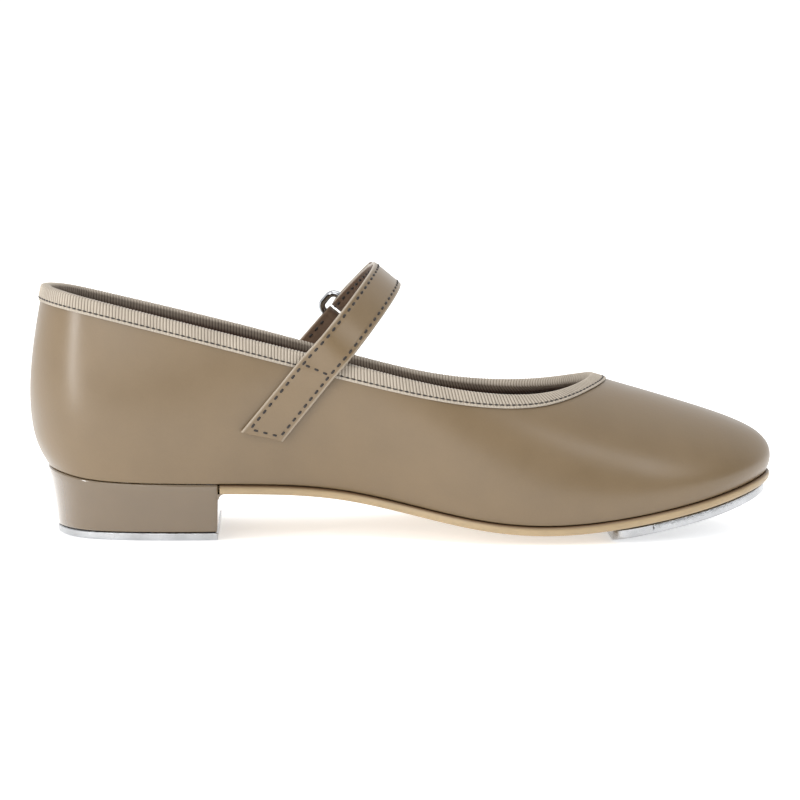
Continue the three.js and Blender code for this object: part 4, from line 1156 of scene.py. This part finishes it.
def screw_shape(name, place, length, grow):
    """A countersunk screw, or with some growth the hole that clears it."""
    head, shank_r, depth = SCREW_HEAD + grow, SCREW_SHANK + grow, SCREW_HEAD_DEPTH + grow
    top = grow + 0.4 if grow else 0
    dome = [(head * f, top - 0.12 * f**2) for f in (0, 0.35, 0.65, 0.88)] if not grow else [(0, top)]
    rim = [(head, top - (0 if grow else 0.22)), (head, -0.25)]
    end = [(shank_r, -depth), (shank_r, -length + shank_r - grow), (0, -length - grow)]
    return turned(name, [*dome, *rim, *end], place)


def screw_holes(places, length):
    return [screw_shape("hole", place, length, HOLE_GROWTH) for place in places]


def toe_screw_holes():
    return screw_holes(toe_screw_places(), TOE_SCREW_LENGTH)


def heel_screw_holes():
    return screw_holes(heel_screw_places(), HEEL_SCREW_LENGTH)


def screw_pieces():
    """Cross-recess screws in both taps."""
    screws = []
    corners = [(x, y, z) for x in (-1.7, 1.7) for y in (-0.4, 0.4) for z in (-0.8, 0.8)]
    faces = [(0, 1, 3, 2), (4, 6, 7, 5), (0, 4, 5, 1), (2, 3, 7, 6), (0, 2, 6, 4), (1, 5, 7, 3)]
    places = [(place, TOE_SCREW_LENGTH) for place in toe_screw_places()]
    places += [(place, HEEL_SCREW_LENGTH) for place in heel_screw_places()]
    for i, (place, length) in enumerate(places):
        screw = screw_shape(f"screw{i}", place, length, 0)
        slots = []
        for turn in (0, math.pi / 2):
            slot = new_object("slot", corners, faces, smooth=False)
            slot.data.transform(place @ Matrix.Rotation(turn + 0.5 * i, 4, "Z"))
            slots.append(slot)
        screws.append(sharpen(drilled(screw, slots), 40))
    nodes = [f"toe_tap_screw_{i}" for i in (1, 2, 3, 4)] + [f"heel_tap_screw_{i}" for i in (1, 2, 3)]
    finish_piece(join("tap_screw_heads", screws), "shoe", screw_steel, nodes)


def breast_middle(z):
    point = centreline_point(np.array(BREAST)).copy()
    point[0], point[2] = BREAST_X, z
    return point


def heel_wall(u, inset, z):
    point = bottom_point(u, inset, 0)
    point[..., 2] = z
    return point


HEEL_COLUMNS = np.linspace(-BREAST, BREAST, 161)


def heel_rings(rows):
    """Rings from points per column, or single points for the middle of the breast."""
    return np.stack([np.broadcast_to(row, (len(HEEL_COLUMNS), 3)) for row in rows], 1)


def flat_ended(name, points):
    """A lattice with flat faces over its first and last rows of points."""
    rows, columns = points.shape[:2]
    faces = lattice_faces(rows, columns, False, False)
    for row in (0, rows - 1):
        faces.append([row * columns + k for k in range(columns)])
    return new_object(name, points.reshape(-1, 3), faces, smooth=False)


BREAST_SLANT = 0.03  # millimetres forwards for each millimetre up
FILLET = 1.7


def breast_fillet(feather):
    """Hollow moulding along the top of the breast, under the sole."""
    top = feather - GAP - SOLE_THICK - 0.05
    half = abs(bottom_point(np.array(BREAST), RIM_THICK * 0.2, 0)[1])
    back = BREAST_X + BREAST_SLANT * 6
    outline = [(back - 0.4, top), (back - 0.4, top - FILLET)]
    for a in np.linspace(math.pi, math.pi / 2, 9):
        outline.append((back + 0.2 + FILLET * (1 + math.cos(a)), top - FILLET + FILLET * (1 - 0.02) * math.sin(a)))
    outline.append((back + 0.2 + FILLET, top))
    rows = [[[x, y, z] for x, z in outline] for y in np.linspace(-half, half, 9)]
    faces = lattice_faces(9, len(outline), False, True)
    for row in (0, 8):
        faces.append([row * len(outline) + k for k in range(len(outline))])
    return new_object("fillet", np.array(rows).reshape(-1, 3), faces)


def heel_piece():
    """The heel: a seat for the sole, a thin rim round it, and walls down to the tap."""
    floor = -GAP - SOLE_THICK - GAP
    base = TAP_THICK_HEEL + GAP
    level = bottom_point(HEEL_COLUMNS, 0, 0)[:, 2]
    rows = [bottom_share(HEEL_COLUMNS, 0, floor), bottom_point(HEEL_COLUMNS, RIM_THICK, floor),
            bottom_point(HEEL_COLUMNS, RIM_THICK, -GAP), bottom_point(HEEL_COLUMNS, HEEL_BEVEL - HEEL_FLARE, -GAP)]
    for f in np.linspace(0, 1, 5)[1:]:
        a = f * math.pi / 2
        down = GAP + HEEL_BEVEL * (1 - math.cos(a))
        rows.append(bottom_point(HEEL_COLUMNS, HEEL_BEVEL * (1 - math.sin(a)) - HEEL_FLARE, -down))
    start = level - GAP - HEEL_BEVEL
    for f in np.linspace(0, 1, 9)[1:-1]:
        curve = f + 0.10 * math.sin(math.pi * f)
        inset = -HEEL_FLARE + (HEEL_TAPER + HEEL_FLARE) * curve
        rows.append(heel_wall(HEEL_COLUMNS, inset, start + (base - start) * f))
    rows += [heel_wall(HEEL_COLUMNS, HEEL_TAPER, base), breast_middle(base)]
    obj = flat_ended("heel_body", heel_rings(rows))
    obj = bevelled(obj, 0.7, 3, 50)
    middle = (start[0] + base) / 2
    for vert in obj.data.vertices:
        if vert.co.x > (BREAST_X - 1.5) * MM:
            vert.co.x += BREAST_SLANT * (vert.co.z - middle * MM)
    obj.data.shade_smooth()
    obj = drilled(obj, heel_screw_holes())
    obj = join("heel_body", [obj, breast_fillet(level[0])])
    finish_piece(sharpen(obj, 35), "shoe", heel_plastic, ["heel_block"])


def finish_tap(name, points, holes, cad_name):
    obj = bevelled(flat_ended(name, points), 0.2, 2, 50)
    obj.data.shade_smooth()
    finish_piece(sharpen(drilled(obj, holes), 30), "shoe", tap_metal, [cad_name])


def heel_tap_piece():
    """The heel tap, a flat plate with a rounded lower edge."""
    rows = [breast_middle(TAP_THICK_HEEL), heel_wall(HEEL_COLUMNS, HEEL_TAPER + 0.25, TAP_THICK_HEEL),
            heel_wall(HEEL_COLUMNS, HEEL_TAPER, TAP_THICK_HEEL - 0.25)]
    for a in np.linspace(0, math.pi / 2, 6):
        inset = HEEL_TAPER + TAP_BEVEL * (1 - math.cos(a))
        rows.append(heel_wall(HEEL_COLUMNS, inset, TAP_BEVEL * (1 - math.sin(a))))
    rows.append(breast_middle(0))
    finish_tap("heel_tap_plate", heel_rings(rows), heel_screw_holes(), "heel_tap")


def toe_tap_piece():
    """The toe tap: it follows the sole, has two rounded rear corners, and is worn flat on the floor."""
    start = station_at(TOE_TAP_REAR_X)
    side = station_at(TOE_TAP_REAR_X + TOE_TAP_CORNER)
    corner = start + (side - start) * (1 - np.cos(np.linspace(0, math.pi / 2, 12)))
    u = np.concatenate([corner, np.linspace(side, STATIONS - side, 190)[1:-1], STATIONS - corner[::-1]])
    ahead = bottom_point(u, 0, 0)[:, 0] - TOE_TAP_REAR_X
    back = TOE_TAP_CORNER - np.clip(ahead, 0, TOE_TAP_CORNER)
    inset = TOE_TAP_INSET + TOE_TAP_CORNER - np.sqrt(np.maximum(TOE_TAP_CORNER**2 - back**2, 0))
    high = -GAP - SOLE_THICK - GAP
    low = high - TAP_THICK_TOE
    shares = np.array([0, 0.2, 0.35, 0.55, 0.7])

    def tread(point):
        point[..., 2] = np.maximum(point[..., 2], 0)
        return point

    top = bottom_share(u[:, None], shares[None, :], high)
    angles = np.linspace(0, math.pi / 2, 6)
    rim_in = np.concatenate([[0.2, 0.0], TAP_BEVEL * (1 - np.cos(angles))])
    rim_up = np.concatenate([[high, high - 0.2], low + TAP_BEVEL * (1 - np.sin(angles))])
    rim = tread(bottom_point(u[:, None], inset[:, None] + rim_in[None, :], rim_up[None, :]))
    under = tread(bottom_share(u[:, None], shares[None, ::-1], low))
    finish_tap("toe_tap_plate", np.concatenate([top, rim, under], 1), toe_screw_holes(), "toe_tap")


def sock_piece():
    """Thin foam sock: crowned, with its edge pressed down by the wall."""
    low = BOARD_TOP + GAP
    u = AROUND[:, None]
    insets, heights = edge_arc(4.6, 0.6, low + 1.1, low)
    rim = bottom_point(u, insets[None, :], heights[None, :])
    crown_rise = 1.5 - 0.4 * SHARES[None, :] ** 4
    top = bottom_share(u, SHARES[None, :], low + crown_rise)
    under = bottom_share(u, SHARES[None, ::-1], low)
    obj = lattice("sock_pad", np.concatenate([top, rim, under], 1), close_rows=True, close_columns=False)
    finish_piece(obj, "shoe", sock_fabric, ["sock_liner"])


# ---------------------------------------------------------------- ring, keeper, fastening


def ring_piece():
    """Chrome ring: a rounded oblong of round wire."""
    x, y = RING_SPAN / 2 - RING_CORNER, RING_BARS / 2 - RING_CORNER
    outline = []
    for cx, cy, start in ((x, y, 90), (x, -y, 0), (-x, -y, -90), (-x, y, -180)):
        for a in np.radians(np.linspace(start, start - 90, 14)):
            outline.append((cx + RING_CORNER * math.cos(a), cy + RING_CORNER * math.sin(a)))
    outline = np.array(outline)
    tangent = unit(np.roll(outline, -1, 0) - np.roll(outline, 1, 0))
    out = np.stack([-tangent[:, 1], tangent[:, 0]], -1)
    up = -END_DOWN
    thick = np.cross(SIDE, up)
    middle = UPPER_BAR + END_DOWN * RING_BARS / 2
    rows = []
    for a in np.linspace(0, 2 * math.pi, 20, endpoint=False):
        flat = outline + out * RING_WIRE * math.cos(a)
        rows.append(middle + flat[:, :1] * SIDE + flat[:, 1:] * up + thick * RING_WIRE * math.sin(a))
    obj = lattice("ring_wire", np.stack(rows, 1), close_rows=True)
    finish_piece(obj, "ring", ring_chrome, ["ring"])


KEEPER_THICK = 1.1
KEEPER_WIDTH = 10.6
KEEPER_SLACK = 0.5
KEEPER_LOW = 8.0
KEEPER_SEWN_TOP = 25.5
KEEPER_SPLAY = 2.6
KEEPER_LEAF_LIFT = 0.33


def keeper_control(side, outer):
    """Points and normals up one leaf of the keeper and halfway round the ring's lower bar."""
    rise = np.linspace(KEEPER_LOW, KEEPER_SEWN_TOP, 30)
    share = np.linspace(0, 1, 30)
    sewn, normal = sewn_frame(rise, side - (KEEPER_SPLAY * (1 - share) if outer else 0) + np.zeros(30), True)
    clear = KEEPER_THICK + GAP if outer else KEEPER_THICK
    points = sewn + normal * (clear + KEEPER_LEAF_LIFT)
    normals = normal if outer else -normal
    angles = np.linspace(0, math.pi / 2, 9)
    if outer:
        angles = math.pi - angles
    turn = -END_DOWN * np.sin(angles)[:, None] - STRAP_END_NORMAL * np.cos(angles)[:, None]
    radius = RING_WIRE + KEEPER_SLACK
    bar = LOWER_BAR + turn * radius + side * SIDE
    return np.concatenate([points, bar]), np.concatenate([normals, turn])


def keeper_frame(outer):
    """Frame function of one leaf, by run from its lower end."""
    def frame(run, side):
        run, side = spread(run, side)
        points, normals = np.zeros(run.shape + (3,)), np.zeros(run.shape + (3,))
        for value in np.unique(side.round(6)):
            control, normal = keeper_control(value, outer)
            length = length_along(control)
            at = np.isclose(side, value, atol=1e-5)
            points[at] = interpolated(run[at] * length[-1], length, control)
            normals[at] = interpolated(run[at] * length[-1], length, normal)
        return points, unit(normals)
    return frame


def keeper_pieces():
    profile = rounded_profile(KEEPER_WIDTH / 2, 0, KEEPER_THICK, 0.4, across=16)
    runs = np.linspace(0, 1, 80)
    for outer, name, material, slot in ((False, "keeper_inner_leaf", strap_inner, "strap_inner"),
                                        (True, "keeper_outer_leaf", strap_leather, "upper_leather")):
        finish_piece(strip(name, keeper_frame(outer), runs, profile), "shoe", material, ["ring_keeper"])
    rows = []
    fine = np.linspace(0.03, 0.9, 150)
    half = KEEPER_WIDTH / 2 - 1.5
    for outer in (True, False):
        frame_at = keeper_frame(outer)
        span = fine if outer else fine[fine > 0.62]
        for side in (-half, half):
            rows.append(threads("keeper_row", *rows_along(frame_at, span, side, KEEPER_THICK - 0.1)))
    frame_at = keeper_frame(True)
    sides = np.linspace(-half, half, 24)
    for run in (0.03, 0.5):
        rows.append(threads("keeper_cross", *rows_along(frame_at, np.full(24, run), sides, KEEPER_THICK - 0.1)))
    finish_piece(join("keeper_stitching", rows), "shoe", dark_thread)


def patch_piece(name, node_name, body, low, facing_up):
    """One half of the fastening: a woven tape with a standing pile."""
    half = 0.72 * STRAP_NARROW / 2
    distances = np.linspace(PATCH_FROM, PATCH_TO, 64)
    sides = np.linspace(-half, half, 50)
    grid_d, grid_s = np.meshgrid(distances, sides, indexing="ij")

    def frame_at(distance, side):
        point, normal = arch_frame(ARCH_LENGTH - distance)
        return plane_point(point[..., 0], point[..., 1], side), normal

    place, normal = frame_at(grid_d, grid_s)
    pile = 0.16 * (np.sin(grid_d * 7.1) * np.sin(grid_s * 7.7 + np.sin(grid_d * 3.1)))
    edge = np.minimum(np.minimum(grid_d - PATCH_FROM, PATCH_TO - grid_d), half - np.abs(grid_s))
    pile = np.where(edge < 0.35, -0.25, pile - 0.18)
    top = np.full(grid_d.shape, low + PATCH_THICK) + (pile if facing_up else 0)
    base = np.full(grid_d.shape, low) - (0 if facing_up else pile)
    upper_face = place + normal * top[..., None]
    lower_face = place + normal * base[..., None]
    obj = lattice(name, np.concatenate([upper_face, lower_face[:, ::-1]], 1), caps=True)
    finish_piece(obj, body, hook_loop, [node_name])


upper_shell()
back_end, front_start = LINING_SPLIT - LINING_GAP, LINING_SPLIT + LINING_GAP
lining_shell("quarter_lining_leather", -back_end, back_end, 150, lining_leather, "quarter_lining")
lining_shell("vamp_lining_cloth", front_start, STATIONS - front_start, 130, vamp_fabric, "vamp_lining")
ribbon()
binding_stitches()
strap_strips()
flap_strips()
strap_stitches()
flap_stitches()
sole_piece()
heel_piece()
heel_tap_piece()
toe_tap_piece()
screw_pieces()
sock_piece()
ring_piece()
keeper_pieces()
patch_piece("loop_tape", "loop_patch", "shoe", STRAP_STACK + GAP, True)
patch_piece("hook_tape", "hook_patch", "flap", STRAP_STACK + 2 * GAP + PATCH_THICK, False)

# ---------------------------------------------------------------- CAD pieces that stay

HIDDEN_MATERIALS = {"shank": screw_steel, "forepart_filler": felt, "insole_board": board_fibre,
                    "heel_counter": board_fibre, "toe_puff": board_fibre}
for name, cad in frame["nodes"].items():
    material = screw_steel if "screw" in name or "nail" in name else HIDDEN_MATERIALS.get(name)
    if material:
        dress(cad, material)

# ---------------------------------------------------------------- stage, lights and camera


FLOOR_GLOW = 0.5  # the floor is a light table
BACKDROP = 1.1  # brightness of the surroundings
DIM_SIDE = (0.62, -0.78, 0.05)  # direction of the dark part of the room
DIM_SHARE = 0.2  # brightness of that part, as a share of the rest
CAMERA_PLACE = (-0.03321, -0.93944, 0.15665)
CAMERA_TARGET = (-0.0004, 0, 0.0418)
CAMERA_LENS = 131.4


def studio():
    """A light table, and a white room that is dim on one side."""
    bpy.ops.mesh.primitive_plane_add(size=6, location=(0, 0, -0.0002))
    floor = bpy.context.object
    floor.name = "floor"
    paper = shader("floor_paper", (0.97, 0.97, 0.97), 0.7, Specular_IOR_Level=0.2)
    glow = paper.node_tree.nodes["Principled BSDF"].inputs
    glow["Emission Color"].default_value = (1, 1, 1, 1)
    glow["Emission Strength"].default_value = FLOOR_GLOW
    relief = bump(paper, noise(paper, coordinates(paper), 3, 3), 0.02, 0.2)
    floor.data.materials.append(surface(paper, None, None, relief))
    world = bpy.data.worlds.new("studio")
    bpy.context.scene.world = world
    world.use_nodes = True
    back = world.node_tree.nodes["Background"]
    back.inputs["Strength"].default_value = BACKDROP
    coords = node(world, "ShaderNodeTexCoord")
    toward = node(world, "ShaderNodeVectorMath", operation="DOT_PRODUCT")
    toward.inputs[1].default_value = DIM_SIDE
    link(world, coords.outputs["Generated"], toward.inputs[0])
    dim = ramp(world, toward.outputs["Value"], 0.25, 0.9)
    link(world, colour_mix(world, dim, (1, 1, 1), (DIM_SHARE,) * 3), back.inputs["Color"])


def point_at(obj, location, target):
    obj.location = location
    obj.rotation_euler = (Vector(target) - Vector(location)).to_track_quat("-Z", "Y").to_euler()


def softbox(name, location, target, size, power):
    light = bpy.data.lights.new(name, "AREA")
    light.shape = "RECTANGLE"
    light.size, light.size_y = size
    light.energy = power
    obj = bpy.data.objects.new(name, light)
    bpy.context.scene.collection.objects.link(obj)
    point_at(obj, location, target)


def lights():
    softbox("top", (-0.1, -0.25, 0.95), (0, 0, 0.03), (0.9, 0.5), 3)
    softbox("front", (-0.45, -0.95, 0.5), (0, 0, 0.03), (0.5, 0.5), 2)
    softbox("right", (0.62, -0.75, 0.6), (0.08, 0, 0.03), (0.12, 0.3), 1.1)
    softbox("left", (-0.9, -0.56, 0.22), (-0.09, 0, 0.04), (0.11, 0.55), 3.8)


def camera():
    cam = bpy.data.cameras.new("camera")
    obj = bpy.data.objects.new("camera", cam)
    bpy.context.scene.collection.objects.link(obj)
    point_at(obj, CAMERA_PLACE, CAMERA_TARGET)
    cam.sensor_width = 36
    cam.lens = CAMERA_LENS
    cam.clip_start, cam.clip_end = 0.05, 10
    bpy.context.scene.camera = obj


studio()
lights()
camera()
bpy.context.scene.view_settings.view_transform = "Standard"
